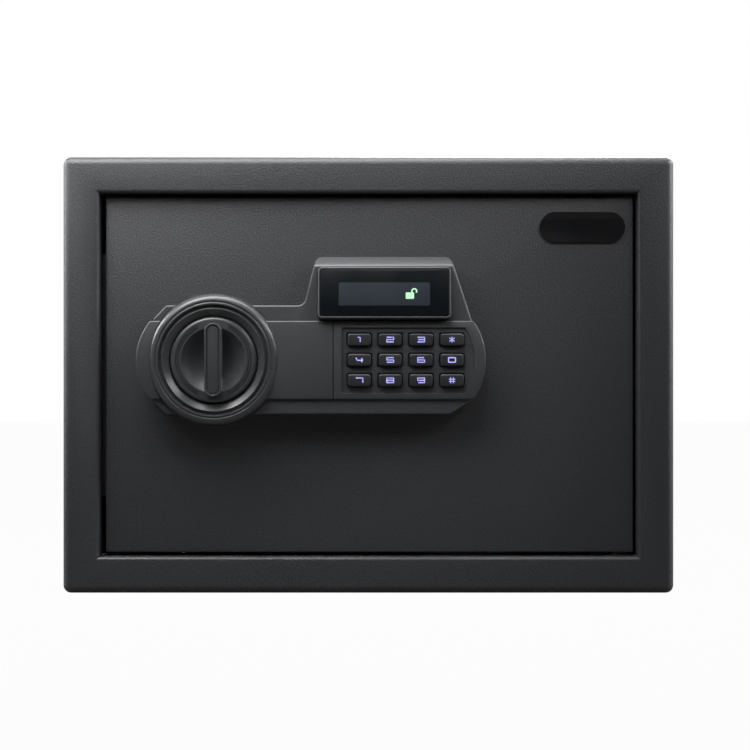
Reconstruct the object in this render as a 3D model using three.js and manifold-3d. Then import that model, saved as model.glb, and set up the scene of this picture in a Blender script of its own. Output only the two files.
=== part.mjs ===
// Keypad safe: a folded steel body, and a door that carries a turning knob, a keypad
// with a display, and the bolt work behind its plate.
// Millimetres. X to the right, the front faces -Y, Z up; the safe stands on Z = 0.
import * as THREE from 'three';
import { mergeVertices } from 'three/addons/utils/BufferGeometryUtils.js';
import Module from 'manifold-3d';

// Body and its folded front frame
const bodyWidth = 350;
const bodyHeight = 250;
const bodyDepth = 250;
const bodySheet = 2;
const bodyCornerRadius = 5;
const frontBendRadius = 4;
const frameBorder = 21;
const frameReturn = 3;
const jambBendRadius = 2.6;
const jambDepth = 24;
const backPanelSheet = 2;
const anchorHoleRadius = 5;
const anchorHoleSpacing = 150;
const matThickness = 3;
const matCornerRadius = 4;

// Door plate and its running gaps in the frame
const doorRecess = 7;
const doorThickness = 4;
const doorGapLock = 2.8;
const doorGapHinge = 1.6;
const doorGapAbove = 2;
const doorGapBelow = 2;
const doorCornerRadius = 1.2;
const doorEdgeChamfer = 0.6;
const cableHoleRadius = 4;
const cableHoleFromBoardEdge = 8.3;

// Hinge pins
const hingeInset = 20;
const hingeSetBack = 3.5;
const hingePinRadius = 3;
const hingePinReach = 8;
const hingePinChamfer = 1;
const hingeBlockWidth = 16;
const hingeBlockHeight = 22;
const bushWall = 1.6;
const bushFlange = 2;
const bushFlangeOverlap = 1.8;
const washerRadius = 6.5;
const washerThickness = 1.3;

// Door stop strip on the lock side
const stopSheet = 1.5;
const stopReach = 6;
const stopLeg = 9;
const stopLength = 140;

// Door frame behind the plate, and its back cover
const panDepth = 36;
const panSheet = 1.5;
const panInsetLock = 8;
const panInsetHinge = 34;
const panInsetEnds = 11;
const panFrontLip = 12;
const panBackLip = 9;
const panCornerRadius = 3;
const coverSheet = 1.5;
const coverCornerRadius = 4;
const coverScrewRadius = 1.6;
const coverScrewHeadRadius = 3.2;
const coverScrewHeadHeight = 1.9;
const coverScrewTopRadius = 2.2;
const coverScrewLength = 7;

// Knob centre on the door, and the spindle behind it
const knobFromLockEdge = 63.5;
const knobAboveMiddle = 8.5;
const knobRadius = 24.6;
const knobRimRise = 15;
const knobBackRise = 5;
const knobHubRadius = 8;
const knobHubRise = 2.4;
const knobEdgeRadius = 0.8;
const knobGrooveRadius = 21;
const knobGrooveWidth = 0.8;
const knobGrooveDepth = 0.35;
const dishRadius = 18.5;
const dishDepth = 8;
const gripWidth = 9.8;
const gripLength = 41.7;
const gripRise = 24;
const gripLipWidth = 1.7;
const gripLipHeight = 0.6;
const gripLipSlope = 0.4;
const gripEdgeRadius = 0.8;
const gripRimFlare = 0.5;
const gripFootFlare = 0.8;
const knobBoreDepth = 1;
const spindleRadius = 4;
const spindleBushWall = 2;
const spindleBushFlange = 1.5;
const spindleBushBehindPlate = 1.5;

// Knob ring
const ringRadius = 37.6;
const ringFootRise = 11.3;
const ringShoulderRise = 14;
const ringTopRise = 19.5;
const ringShoulderWidth = 4.1;
const ringFineGrooveWidth = 1.1;
const ringFineGrooveDepth = 0.45;
const ringBeadWidth = 1.1;
const ringGrooveWidth = 2;
const ringGrooveDepth = 1.8;
const ringLipWidth = 0.8;
const ringLipDrop = 0.5;
const ringFunnelDrop = 7;
const ringFlank = 0.25;
const knobGap = 0.7;

// Moulded console on the door: base, band and display hump, from the knob centre
const consoleWall = 2;
const baseRise = 15;
const bandRise = 18.5;
const bandHalfHeight = 22.15;
const bandLeftReach = 36.1;
const bandLeftBulge = 7.8;
const bandRightReach = 147.4;
const bandRightBulge = 6.9;
const bandEdgeRadius = 0.7;
const bandLeftCornerRadius = 1.5;
const bandRightCornerRadius = 2;
const baseTop = 31.1;
const baseBottom = 30.8;
const baseLeftReach = 34.3;
const baseRightReach = 147.6;
const baseLeftTop = 23.6;
const baseCornerCut = 7.2;
const baseRightCut = 13;
const baseRightDrop = 3;
const baseCornerRadius = 2;
const baseCutRadius = 1;
const baseEdgeRadius = 1.6;
const humpTop = 59;
const humpLeftFoot = 51.1;
const humpLeftTop = 58;
const humpRightTop = 134.6;
const humpCornerRadius = 4.5;
const humpBrowHeight = 5.4;
const humpBrowDrop = 7;
const seamFromKnob = 67.8;

// Keypad in the band
const recessDepth = 1.7;
const recessLeft = 72.4;
const recessRight = 142.8;
const recessBulge = 5.5;
const recessHalfHeight = 18.85;
const recessLift = -0.25;
const recessLeftRadius = 1.5;
const recessRightRadius = 1;
const recessDraft = 0.35;
const firstKeyFromKnob = 82.65;
const keyPitchX = 17.47;
const keyPitchZ = 11.5;
const keyWidth = 13.3;
const keyHeight = 7;
const keyCornerRadius = 1.6;
const keyRise = 19.2;
const keyBevel = 1;
const keyBevelHeight = 0.9;
const keyHoleGap = 0.5;
const keyFlangeOverlap = 0.65;
const keyFlangeThickness = 1.2;
const keyStemWidth = 4;
const keyTravel = 1;
const keyWindowMargin = 2.8;
const boardThickness = 1.6;
const boardRise = 9.6;
const boardLeft = 72;
const boardRight = 143;
const boardBottom = -25;
const boardTop = 52;
const boardPostRadius = 2.2;
const boardPostSpacing = 62;
const boardPostHeight = 20.4;
const boardCornerHeight = 20;
const boardLowerCut = 6;
const boardUpperCut = 11;
const boardCornerRadius = 1;

// Display pod in the hump, leaned back so that it faces a little up
const podLeft = 59.1;
const podRight = 134.6;
const podBottom = 23.4;
const podTop = 53;
const podCornerRadius = 2.6;
const podRise = 18.5;
const podLean = 9.5;
const podDepth = 6.5;
const podPocketDepth = 9.8;
const podLip = 0.9;
const podEdgeRadius = 0.5;
const glassThickness = 1.2;
const glassSink = 0.5;
const moduleWidth = 54;
const moduleHeight = 15.5;
const moduleThickness = 3;

// Badge pill on the door, left bare
const badgeWidth = 49.2;
const badgeHeight = 17.5;
const badgeThickness = 1.2;
const badgeEdgeRadius = 0.4;
const badgeFromHingeEdge = 29.4;
const badgeBelowTop = 17;

// Emergency lock under the key cover
const lockFromKnob = 52.7;
const lockRadius = 6;
const lockBodyWall = 2;
const lockFlangeRadius = 9.6;
const lockFlangeThickness = 1.5;
const lockFaceRise = 11.5;
const lockBehindPlate = 2;
const lockEdge = 0.5;
const keywayWidth = 2.2;
const keywayHeight = 8;
const keywayDepth = 12;
const camReach = 15;
const camWidth = 8;
const camThickness = 3;
const keyCoverSkin = 1.6;

// Bolt work behind the door plate
const boltRadius = 9;
const boltLength = 45;
const boltTravel = 16;
const boltSpacing = 110;
const boltSlack = 1.5;
const boltTipChamfer = 1.5;
const carriageSheet = 3;
const carriageStrapWidth = 24;
const carriageEndMargin = 9;
const carriageArmHalfHeight = 18;
const carriageArmReach = 74;
const carriageCornerRadius = 2;
const carriageInnerRadius = 3;
const crankThickness = 4;
const crankSetBack = 3;
const crankPinRadius = 2;
const crankWebRadius = 7;
const crankPinProud = 1;
const slotClearance = 0.65;
const webGap = 1.5;
const guideStudRadius = 2.5;
const guideHeadRadius = 5;
const guideHeadThickness = 2;
const guideFromKnob = 28;

// Solenoid that blocks the carriage
const solenoidFromKnob = 47.7;
const solenoidWidth = 21;
const solenoidHeight = 30;
const solenoidSheet = 2;
const coilRadius = 8.4;
const plungerRadius = 4;
const plungerCollarRadius = 6;
const plungerCollarHeight = 2;
const plungerTravel = 4;
const plungerDeep = 14;
const plungerChamfer = 1;
const plungerTipGap = 1.2;
const notchDepth = 6;
const springTurns = 5;
const springStepsPerTurn = 8;
const springWireSides = 3;
const springWireRadius = 0.4;
const springGap = 10.8;

// Batteries and reset button on the inner side of the door
const cellRadius = 7.1;
const cellLength = 49;
const cellNubRadius = 2.7;
const cellNubLength = 1.5;
const cellShoulder = 0.8;
const cellPitch = 15;
const cellCount = 4;
const bayWall = 1.6;
const bayEndRoom = 4;
const bayFromHingeSide = 26;
const bayDrop = 3;
const bayDepth = 19;
const bayCornerRadius = 2;
const lidThickness = 2;
const lidOverlap = 4;
const lidCornerRadius = 3;
const lidEdgeRadius = 0.7;
const lidGrooveCount = 3;
const lidGrooveWidth = 2;
const lidGroovePitch = 4;
const lidGrooveLength = 19;
const lidGrooveDepth = 0.8;
const resetRadius = 4;
const resetFlangeOverlap = 1.2;
const resetFlangeThickness = 1.4;
const resetProud = 1.4;
const resetChamfer = 0.5;
const resetFromHingeSide = 100;
const resetBelowTop = 26;

// Clearances and how finely round shapes are drawn
const seat = 0.3;
const fit = 0.3;
const past = 5; // how far a cutting tool reaches beyond what it cuts
const arcSteps = 3;
const keyArcSteps = 2;
const gripArcSteps = 6;
const roundSides = 36;
const smallSides = 16;
const screwSides = 12;
const hingeArcSteps = 8;
const ringShoulderSteps = 4;
const bowlSteps = 6;
const crankTailSteps = 12;
const crankTipSteps = 6;

// Places that follow from the sizes
const frontY = -bodyDepth / 2;
const backY = bodyDepth / 2;
const jambEndY = frontY + jambDepth;
const frameBackY = frontY + frontBendRadius + frameReturn;
const openingHalf = bodyWidth / 2 - frameBorder;
const doorLeft = -openingHalf + doorGapLock;
const doorRight = openingHalf - doorGapHinge;
const doorBottom = frameBorder + doorGapBelow;
const doorTop = bodyHeight - frameBorder - doorGapAbove;
const doorFrontY = frontY + doorRecess;
const doorBackY = doorFrontY + doorThickness;
const knobX = doorLeft + knobFromLockEdge;
const knobZ = (doorBottom + doorTop) / 2 + knobAboveMiddle;
const hingeX = doorRight - hingeInset;
const hingeY = doorBackY + hingeSetBack;
const panBackY = doorBackY + panDepth;
const panLeft = doorLeft + panInsetLock;
const panRight = doorRight - panInsetHinge;
const panBottom = doorBottom + panInsetEnds;
const panTop = doorTop - panInsetEnds;

const wasm = await Module();
wasm.setup();

// Materials, with the colours of the photograph
function paint(colour, roughness, metalness = 0) {
  return new THREE.MeshStandardMaterial({ color: colour, roughness, metalness });
}
const powderCoat = paint(0x3a3b3e, 0.6);
const mouldedPlastic = paint(0x36373a, 0.5);
const ringPlastic = paint(0x3e3f42, 0.4);
const keyPlastic = paint(0x25262a, 0.5);
const glossBlack = paint(0x0d0e10, 0.15);
const displayGrey = paint(0x343943, 0.35);
const steel = paint(0x9a9c9f, 0.35, 1);
const zincSteel = paint(0xb4b0a4, 0.45, 1);
const brass = paint(0xb08d4c, 0.35, 1);
const nylon = paint(0x1d1d1f, 0.6);
const blackSteel = paint(0x2b2b2d, 0.45, 1);
const boardGreen = paint(0x1f5a36, 0.6);
const felt = paint(0x2b2b2d, 0.95);
const cellSleeve = paint(0x8d2f23, 0.4);
const redPlastic = paint(0xb3201c, 0.45);

// Drops needless attributes and empty triangles, and turns the faces outwards.
function closed(geometry) {
  const bare = geometry.clone();
  bare.deleteAttribute('normal');
  bare.deleteAttribute('uv');
  const merged = mergeVertices(bare, 1e-4);
  const position = merged.attributes.position;
  const source = merged.index.array;
  const corners = [0, 1, 2].map(() => new THREE.Vector3());
  let kept = [];
  let volume = 0;
  for (let i = 0; i < source.length; i += 3) {
    const [a, b, c] = source.slice(i, i + 3);
    if (a === b || b === c || c === a) continue;
    kept.push(a, b, c);
    [a, b, c].forEach((vertex, k) => corners[k].fromBufferAttribute(position, vertex));
    volume += corners[0].dot(corners[1].cross(corners[2]));
  }
  if (volume < 0) kept = kept.reverse();
  merged.setIndex(kept);
  return merged;
}

function solidOf(geometry) {
  const body = closed(geometry);
  return new wasm.Manifold(new wasm.Mesh({
    numProp: 3,
    vertProperties: body.attributes.position.array,
    triVerts: Uint32Array.from(body.index.array),
  }));
}

function geometryOf(solid) {
  const mesh = solid.getMesh();
  const geometry = new THREE.BufferGeometry();
  geometry.setAttribute('position', new THREE.BufferAttribute(mesh.vertProperties, 3));
  geometry.setIndex(Array.from(mesh.triVerts));
  return geometry;
}

function joined(...pieces) {
  return geometryOf(pieces.map(solidOf).reduce((whole, piece) => whole.add(piece)));
}

function cut(geometry, ...tools) {
  return geometryOf(tools.map(solidOf).reduce((left, tool) => left.subtract(tool), solidOf(geometry)));
}

function common(geometry, other) {
  return geometryOf(solidOf(geometry).intersect(solidOf(other)));
}

// Outlines lie in the plane of the door: corners [x, z, radius], anticlockwise as seen
// from the front. An inset moves every side inwards and keeps the round corners in step.
function outline(corners, inset = 0, steps = arcSteps) {
  const smallest = 0.25;
  const points = [];
  corners.forEach(([x, z, radius = 0], i) => {
    const [xBefore, zBefore] = corners.at(i - 1);
    const [xAfter, zAfter] = corners[(i + 1) % corners.length];
    const into = new THREE.Vector2(x - xBefore, z - zBefore).normalize();
    const out = new THREE.Vector2(xAfter - x, zAfter - z).normalize();
    const normalInto = new THREE.Vector2(-into.y, into.x);
    const normalOut = new THREE.Vector2(-out.y, out.x);
    const corner = normalInto.clone().add(normalOut);
    corner.multiplyScalar(inset / (1 + normalInto.dot(normalOut))).add(new THREE.Vector2(x, z));
    if (radius === 0) {
      points.push(corner);
      return;
    }
    const turn = Math.atan2(into.cross(out), into.dot(out));
    const side = Math.sign(turn);
    const bend = Math.max(radius - side * inset, smallest);
    const start = corner.clone().addScaledVector(into, -bend * Math.tan(Math.abs(turn) / 2));
    const centre = start.clone().addScaledVector(normalInto, side * bend);
    for (let k = 0; k <= steps; k += 1) {
      points.push(start.clone().rotateAround(centre, (turn * k) / steps));
    }
  });
  return points;
}

function rectangle(left, bottom, right, top, radius = 0) {
  return [[left, bottom, radius], [right, bottom, radius], [right, top, radius], [left, top, radius]];
}

// Points between two corners of an end that bulges to one side by the given height.
function bulge(fromX, fromZ, toX, toZ, height, steps = 6) {
  const half = Math.hypot(toX - fromX, toZ - fromZ) / 2;
  const radius = (half * half + height * height) / (2 * height);
  const middle = new THREE.Vector2((fromX + toX) / 2, (fromZ + toZ) / 2);
  const outwards = new THREE.Vector2(toZ - fromZ, fromX - toX).normalize();
  const centre = middle.addScaledVector(outwards, height - radius);
  const sweep = 2 * Math.asin(half / radius);
  const start = new THREE.Vector2(fromX, fromZ);
  return Array.from({ length: steps - 1 }, (_, k) => {
    const point = start.clone().rotateAround(centre, (sweep * (k + 1)) / steps);
    return [point.x, point.y];
  });
}

// A solid through a row of outlines, each at its own Y, with flat ends.
// A ring instead joins the last outline to the first and leaves the middle open.
function loft(layers, ring = false) {
  const count = layers[0].points.length;
  const positions = layers.flatMap(({ points, y }) => points.flatMap((p) => [p.x, y, p.y]));
  const index = [];
  const last = ring ? layers.length : layers.length - 1;
  for (let row = 0; row < last; row += 1) {
    const next = (row + 1) % layers.length;
    for (let k = 0; k < count; k += 1) {
      const a = row * count + k;
      const b = row * count + ((k + 1) % count);
      const c = next * count + ((k + 1) % count);
      const d = next * count + k;
      index.push(a, b, c, a, c, d);
    }
  }
  if (!ring) {
    for (const [row, flip] of [[0, true], [layers.length - 1, false]]) {
      const faces = THREE.ShapeUtils.triangulateShape(layers[row].points, []);
      for (const face of faces) {
        const [a, b, c] = face.map((k) => row * count + k);
        index.push(...(flip ? [c, b, a] : [a, b, c]));
      }
    }
  }
  const geometry = new THREE.BufferGeometry();
  geometry.setAttribute('position', new THREE.Float32BufferAttribute(positions, 3));
  geometry.setIndex(index);
  return closed(geometry);
}

// A plate between two depths, and one with a rounded front edge.
function slab(corners, nearY, farY, inset = 0, steps = arcSteps) {
  return loft([nearY, farY].map((y) => ({ y, points: outline(corners, inset, steps) })));
}
function softSlab(corners, nearY, farY, edge, steps = 2) {
  const rounded = Array.from({ length: steps + 1 }, (_, k) => {
    const angle = (Math.PI / 2) * (k / steps);
    return {
      y: nearY + edge * (1 - Math.sin(angle)),
      points: outline(corners, edge * (1 - Math.cos(angle))),
    };
  });
  return loft([{ y: farY, points: outline(corners) }, ...rounded]);
}

// Turned shapes: profile points are [radius, height along the axis].
function turned(profile, sides = roundSides) {
  const points = profile.map(([radius, height]) => new THREE.Vector2(radius, height));
  return closed(new THREE.LatheGeometry(points, sides));
}
function turnedToFront(profile, sides) {
  return turned(profile, sides).rotateX(Math.PI);
}
function turnedUpright(profile, sides) {
  return turned(profile, sides).rotateX(Math.PI / 2);
}
function drill(radius, fromY, toY, x = 0, z = 0, sides = smallSides) {
  const bore = new THREE.CylinderGeometry(radius, radius, toY - fromY, sides);
  return bore.translate(0, (fromY + toY) / 2, 0).translate(x, 0, z);
}
function tube(inner, outer, from, to) {
  return [[inner, from], [outer, from], [outer, to], [inner, to], [inner, from]];
}

// Quarter bend of a folded sheet as [inset, y] points.
function sheetBend(centreInset, centreY, radius, fromDegrees, toDegrees, steps = arcSteps) {
  return Array.from({ length: steps + 1 }, (_, k) => {
    const angle = THREE.MathUtils.degToRad(fromDegrees + ((toDegrees - fromDegrees) * k) / steps);
    return [centreInset + radius * Math.cos(angle), centreY + radius * Math.sin(angle)];
  });
}

function add(parent, name, geometry, material, x = 0, y = 0, z = 0) {
  const shaded = geometry.index ? geometry.toNonIndexed() : geometry;
  shaded.computeVertexNormals();
  const mesh = new THREE.Mesh(shaded, material);
  mesh.name = name;
  mesh.position.set(x, y, z);
  parent.add(mesh);
  return mesh;
}

function group(parent, x, y, z) {
  const child = new THREE.Group();
  child.position.set(x, y, z);
  parent.add(child);
  return child;
}

const safe = new THREE.Group();
const door = group(safe, 0, 0, 0);
const consoleUnit = group(door, knobX, doorFrontY, knobZ);
const boltWork = group(door, knobX, doorBackY, knobZ);

const bodyCorners = rectangle(-bodyWidth / 2, 0, bodyWidth / 2, bodyHeight, bodyCornerRadius);

function bodyRing(profile) {
  return loft(profile.map(([inset, y]) => ({ y, points: outline(bodyCorners, inset) })), true);
}

function bodyHole(radius, x, y, z) {
  return drill(radius, -bodySheet, bodySheet).rotateX(Math.PI / 2).translate(x, y, z);
}

// Body: a sheet wrapped round the cavity, with anchor holes in its floor.
function bodyShell() {
  const wrapperFrontY = frameBackY + seat;
  const shell = bodyRing([[0, backY], [0, wrapperFrontY], [bodySheet, wrapperFrontY], [bodySheet, backY]]);
  return cut(shell, ...[-1, 1].map((side) => (
    bodyHole(anchorHoleRadius, (side * anchorHoleSpacing) / 2, 0, bodySheet / 2)
  )));
}

// Front frame: pressed from one sheet, with the outer bend, the border and the jamb.
function frontFrame() {
  const bendCentre = frameBorder - jambBendRadius;
  const frame = bodyRing([
    [0, frameBackY],
    ...sheetBend(frontBendRadius, frontY + frontBendRadius, frontBendRadius, 180, 270),
    ...sheetBend(bendCentre, frontY + jambBendRadius, jambBendRadius, -90, 0),
    [frameBorder, jambEndY],
    [frameBorder - bodySheet, jambEndY],
    ...sheetBend(bendCentre, frontY + jambBendRadius, jambBendRadius - bodySheet, 0, -90, 2),
    ...sheetBend(frontBendRadius, frontY + frontBendRadius, frontBendRadius - bodySheet, 270, 180, 2),
    [bodySheet, frameBackY],
  ]);
  const pinHoleRadius = hingePinRadius + fit + bushWall + fit;
  return cut(frame, ...[frameBorder - bodySheet / 2, bodyHeight - frameBorder + bodySheet / 2].map((z) => (
    bodyHole(pinHoleRadius, hingeX, hingeY, z)
  )));
}

function backPanel() {
  const edge = bodySheet + seat;
  const panel = slab(bodyCorners, backY - backPanelSheet, backY, edge);
  const holes = [-1, 1].map((side) => drill(
    anchorHoleRadius,
    backY - backPanelSheet * 2,
    backY + backPanelSheet,
    (side * anchorHoleSpacing) / 2,
    bodyHeight / 2,
  ));
  return cut(panel, ...holes);
}

function floorMat() {
  const half = bodyWidth / 2 - bodyCornerRadius - seat;
  const near = jambEndY + seat;
  const far = backY - backPanelSheet - seat;
  const corners = rectangle(-half, -far, half, -near, matCornerRadius);
  const mat = slab(corners, 0, matThickness);
  return mat.rotateX(Math.PI / 2).translate(0, 0, bodySheet + seat);
}

function stopStrip() {
  const left = -openingHalf + seat;
  const nearY = doorBackY + seat;
  const corners = [
    [left, nearY, 0],
    [left + stopReach, nearY, 0],
    [left + stopReach, nearY + stopSheet, 0],
    [left + stopSheet, nearY + stopSheet, 0],
    [left + stopSheet, nearY + stopLeg, 0],
    [left, nearY + stopLeg, 0],
  ].map(([x, y]) => new THREE.Vector2(x, y));
  const strip = new THREE.ExtrudeGeometry(new THREE.Shape(corners), { depth: stopLength, bevelEnabled: false });
  return strip.translate(0, 0, (bodyHeight - stopLength) / 2);
}

add(safe, 'body_shell', bodyShell(), powderCoat);
add(safe, 'front_frame', frontFrame(), powderCoat);
add(safe, 'back_panel', backPanel(), powderCoat);
add(safe, 'floor_mat', floorMat(), felt);
add(safe, 'door_stop_strip', stopStrip(), powderCoat);

// Hinge: a pin in a block behind each end of the door plate turns in a bush in the jamb.
const pinBore = hingePinRadius + fit;
const bushRadius = pinBore + bushWall;
const lowerJambZ = frameBorder;
const upperJambZ = bodyHeight - frameBorder;

function hingeBush() {
  return turnedUpright([
    [pinBore, 0],
    [bushRadius, 0],
    [bushRadius, bodySheet + seat],
    [bushRadius + bushFlangeOverlap, bodySheet + seat],
    [bushRadius + bushFlangeOverlap, bodySheet + seat + bushFlange],
    [pinBore, bodySheet + seat + bushFlange],
    [pinBore, 0],
  ], smallSides);
}

function hingeBlock() {
  const half = hingeBlockWidth / 2;
  const corners = [
    [-half, seat - hingeSetBack],
    [half, seat - hingeSetBack],
    [half, 0],
    ...Array.from({ length: hingeArcSteps - 1 }, (_, k) => {
      const angle = (Math.PI * (k + 1)) / hingeArcSteps;
      return [half * Math.cos(angle), half * Math.sin(angle)];
    }),
    [-half, 0],
  ].map(([x, y]) => new THREE.Vector2(x, y));
  const block = new THREE.ExtrudeGeometry(new THREE.Shape(corners), {
    depth: hingeBlockHeight,
    bevelEnabled: false,
  });
  const bore = turnedUpright([
    [0, -past],
    [pinBore, -past],
    [pinBore, hingeBlockHeight + past],
    [0, hingeBlockHeight + past],
  ], smallSides);
  return cut(block, bore);
}

function hingePin() {
  const length = hingeBlockHeight + doorGapBelow + bodySheet + hingePinReach;
  return turnedUpright([
    [0, 0],
    [hingePinRadius, 0],
    [hingePinRadius, length - hingePinChamfer],
    [hingePinRadius - hingePinChamfer, length],
    [0, length],
  ], smallSides);
}

add(safe, 'hinge_washer', turnedUpright(
  tube(pinBore, washerRadius, lowerJambZ + seat, lowerJambZ + seat + washerThickness),
  smallSides,
), blackSteel, hingeX, hingeY, 0);
const lowerBush = add(safe, 'hinge_bush_bottom', hingeBush(), nylon, hingeX, hingeY, lowerJambZ);
lowerBush.rotation.x = Math.PI;
add(safe, 'hinge_bush_top', hingeBush(), nylon, hingeX, hingeY, upperJambZ);
add(door, 'hinge_block_bottom', hingeBlock(), powderCoat, hingeX, hingeY, doorBottom);
add(door, 'hinge_block_top', hingeBlock(), powderCoat, hingeX, hingeY, doorTop - hingeBlockHeight);
const lowerPin = add(door, 'hinge_pin_bottom', hingePin(), blackSteel, hingeX, hingeY, doorBottom + hingeBlockHeight);
lowerPin.rotation.x = Math.PI;
add(door, 'hinge_pin_top', hingePin(), blackSteel, hingeX, hingeY, doorTop - hingeBlockHeight);

// Door plate, the channel frame behind it and the cover that closes the frame
const spindleBushRadius = spindleRadius + fit + spindleBushWall;
const lockBodyRadius = lockRadius + fit + lockBodyWall;

function doorPlate() {
  const corners = rectangle(doorLeft, doorBottom, doorRight, doorTop, doorCornerRadius);
  const plate = softSlab(corners, doorFrontY, doorBackY, doorEdgeChamfer);
  const reach = [doorFrontY - doorThickness, doorBackY + doorThickness];
  return cut(
    plate,
    drill(spindleBushRadius + fit, ...reach, knobX, knobZ),
    drill(lockBodyRadius + fit, ...reach, knobX + lockFromKnob, knobZ),
    drill(cableHoleRadius, ...reach, knobX + boardRight - cableHoleFromBoardEdge, knobZ + boardBottom),
  );
}

const boltAxisY = jambEndY + boltSlack + boltRadius;
const boltLevels = [-boltSpacing / 2, boltSpacing / 2];

function doorFrame() {
  const nearY = doorBackY + seat;
  const profile = [
    [0, nearY],
    [panFrontLip, nearY],
    [panFrontLip, nearY + panSheet],
    [panSheet, nearY + panSheet],
    [panSheet, panBackY - panSheet],
    [panBackLip, panBackY - panSheet],
    [panBackLip, panBackY],
    [0, panBackY],
  ];
  const corners = rectangle(panLeft, panBottom, panRight, panTop, panCornerRadius);
  const frame = loft(profile.map(([inset, y]) => ({ y, points: outline(corners, inset) })), true);
  const boltHoles = boltLevels.map((level) => {
    const hole = new THREE.CylinderGeometry(boltRadius + fit, boltRadius + fit, panSheet * 4, smallSides);
    return hole.rotateZ(Math.PI / 2).translate(panLeft, boltAxisY, knobZ + level);
  });
  const screwHoles = coverScrewPlaces().map(([x, z]) => (
    drill(coverScrewRadius + fit, panBackY - panSheet * 2, panBackY + panSheet, x, z, screwSides)
  ));
  return cut(frame, ...boltHoles, ...screwHoles);
}

function coverScrewPlaces() {
  const inset = (panBackLip + panSheet) / 2;
  return [[panLeft + inset, panBottom + inset], [panRight - inset, panBottom + inset],
    [panRight - inset, panTop - inset], [panLeft + inset, panTop - inset]];
}

// Battery bay, cells and lid
const bayInnerWidth = cellCount * cellPitch + bayWall;
const bayInnerHeight = cellLength + cellNubLength + bayEndRoom;
const bayRight = panRight - bayFromHingeSide;
const bayLeft = bayRight - bayInnerWidth - bayWall * 2;
const bayMiddleZ = knobZ - bayDrop;
const bayBottom = bayMiddleZ - bayInnerHeight / 2 - bayWall;
const bayTop = bayMiddleZ + bayInnerHeight / 2 + bayWall;
const bayMouthY = panBackY;
const resetX = panRight - resetFromHingeSide;
const resetZ = panTop - resetBelowTop;
const coverY = panBackY + seat;

function backCover() {
  const corners = rectangle(panLeft, panBottom, panRight, panTop, coverCornerRadius);
  const sheet = slab(corners, coverY, coverY + coverSheet);
  const window = rectangle(bayLeft, bayBottom, bayRight, bayTop, bayCornerRadius);
  const reach = [coverY - coverSheet, coverY + coverSheet * 2];
  const screwHoles = coverScrewPlaces().map(([x, z]) => drill(coverScrewRadius + fit, ...reach, x, z, screwSides));
  return cut(
    sheet,
    slab(window, ...reach, bayWall * 2),
    drill(resetRadius + fit, ...reach, resetX, resetZ),
    ...screwHoles,
  );
}

function coverScrew() {
  const shank = coverScrewHeadHeight - coverScrewLength;
  return turned([
    [0, shank],
    [coverScrewRadius, shank],
    [coverScrewRadius, 0],
    [coverScrewHeadRadius, 0],
    [coverScrewHeadRadius, coverScrewHeadHeight / 2],
    [coverScrewTopRadius, coverScrewHeadHeight],
    [0, coverScrewHeadHeight],
  ], screwSides);
}

function batteryBox() {
  const corners = rectangle(bayLeft, bayBottom, bayRight, bayTop, bayCornerRadius);
  const box = slab(corners, bayMouthY - bayDepth, bayMouthY);
  return cut(box, slab(corners, bayMouthY - bayDepth + bayWall, bayMouthY + bayWall, bayWall));
}

function cell() {
  return turnedUpright([
    [0, 0],
    [cellRadius, 0],
    [cellRadius, cellLength - cellShoulder],
    [cellRadius - cellShoulder, cellLength],
    [cellNubRadius, cellLength],
    [cellNubRadius, cellLength + cellNubLength],
    [0, cellLength + cellNubLength],
  ], smallSides);
}

function batteryLid() {
  const corners = rectangle(
    bayLeft - lidOverlap,
    bayBottom - lidOverlap,
    bayRight + lidOverlap,
    bayTop + lidOverlap,
    lidCornerRadius,
  );
  const nearY = coverY + coverSheet + seat;
  const topY = nearY + lidThickness;
  const lid = softSlab(corners, -topY, -nearY, lidEdgeRadius).scale(1, -1, 1);
  const grips = Array.from({ length: lidGrooveCount }, (_, k) => {
    const left = bayLeft + lidGroovePitch * (1 + k);
    const groove = rectangle(
      left,
      bayMiddleZ - lidGrooveLength / 2,
      left + lidGrooveWidth,
      bayMiddleZ + lidGrooveLength / 2,
    );
    return slab(groove, topY - lidGrooveDepth, topY + past);
  });
  return cut(lid, ...grips);
}

function resetButton() {
  const flangeBack = coverY - seat;
  const capTop = coverY + coverSheet + resetProud;
  const flangeRadius = resetRadius + resetFlangeOverlap;
  return turned([
    [0, flangeBack - resetFlangeThickness],
    [flangeRadius, flangeBack - resetFlangeThickness],
    [flangeRadius, flangeBack],
    [resetRadius, flangeBack],
    [resetRadius, capTop - resetChamfer],
    [resetRadius - resetChamfer, capTop],
    [0, capTop],
  ], smallSides);
}

add(door, 'door_plate', doorPlate(), powderCoat);
add(door, 'door_frame', doorFrame(), powderCoat);
add(door, 'back_cover', backCover(), powderCoat);
coverScrewPlaces().forEach(([x, z], i) => {
  add(door, `back_cover_screw_${i + 1}`, coverScrew(), zincSteel, x, coverY + coverSheet + seat, z);
});
add(door, 'battery_box', batteryBox(), keyPlastic);
for (let i = 0; i < cellCount; i += 1) {
  const x = bayLeft + bayWall + bayWall / 2 + cellPitch * (i + 0.5);
  const y = bayMouthY - bayDepth + bayWall + seat + cellRadius;
  const upward = i % 2 === 0;
  const z = upward ? bayBottom + bayWall + seat : bayTop - bayWall - seat;
  const battery = add(door, `battery_${i + 1}`, cell(), cellSleeve, x, y, z);
  if (!upward) battery.rotation.x = Math.PI;
}
add(door, 'battery_cover', batteryLid(), keyPlastic);
add(door, 'reset_button', resetButton(), redPlastic, resetX, 0, resetZ);

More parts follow.
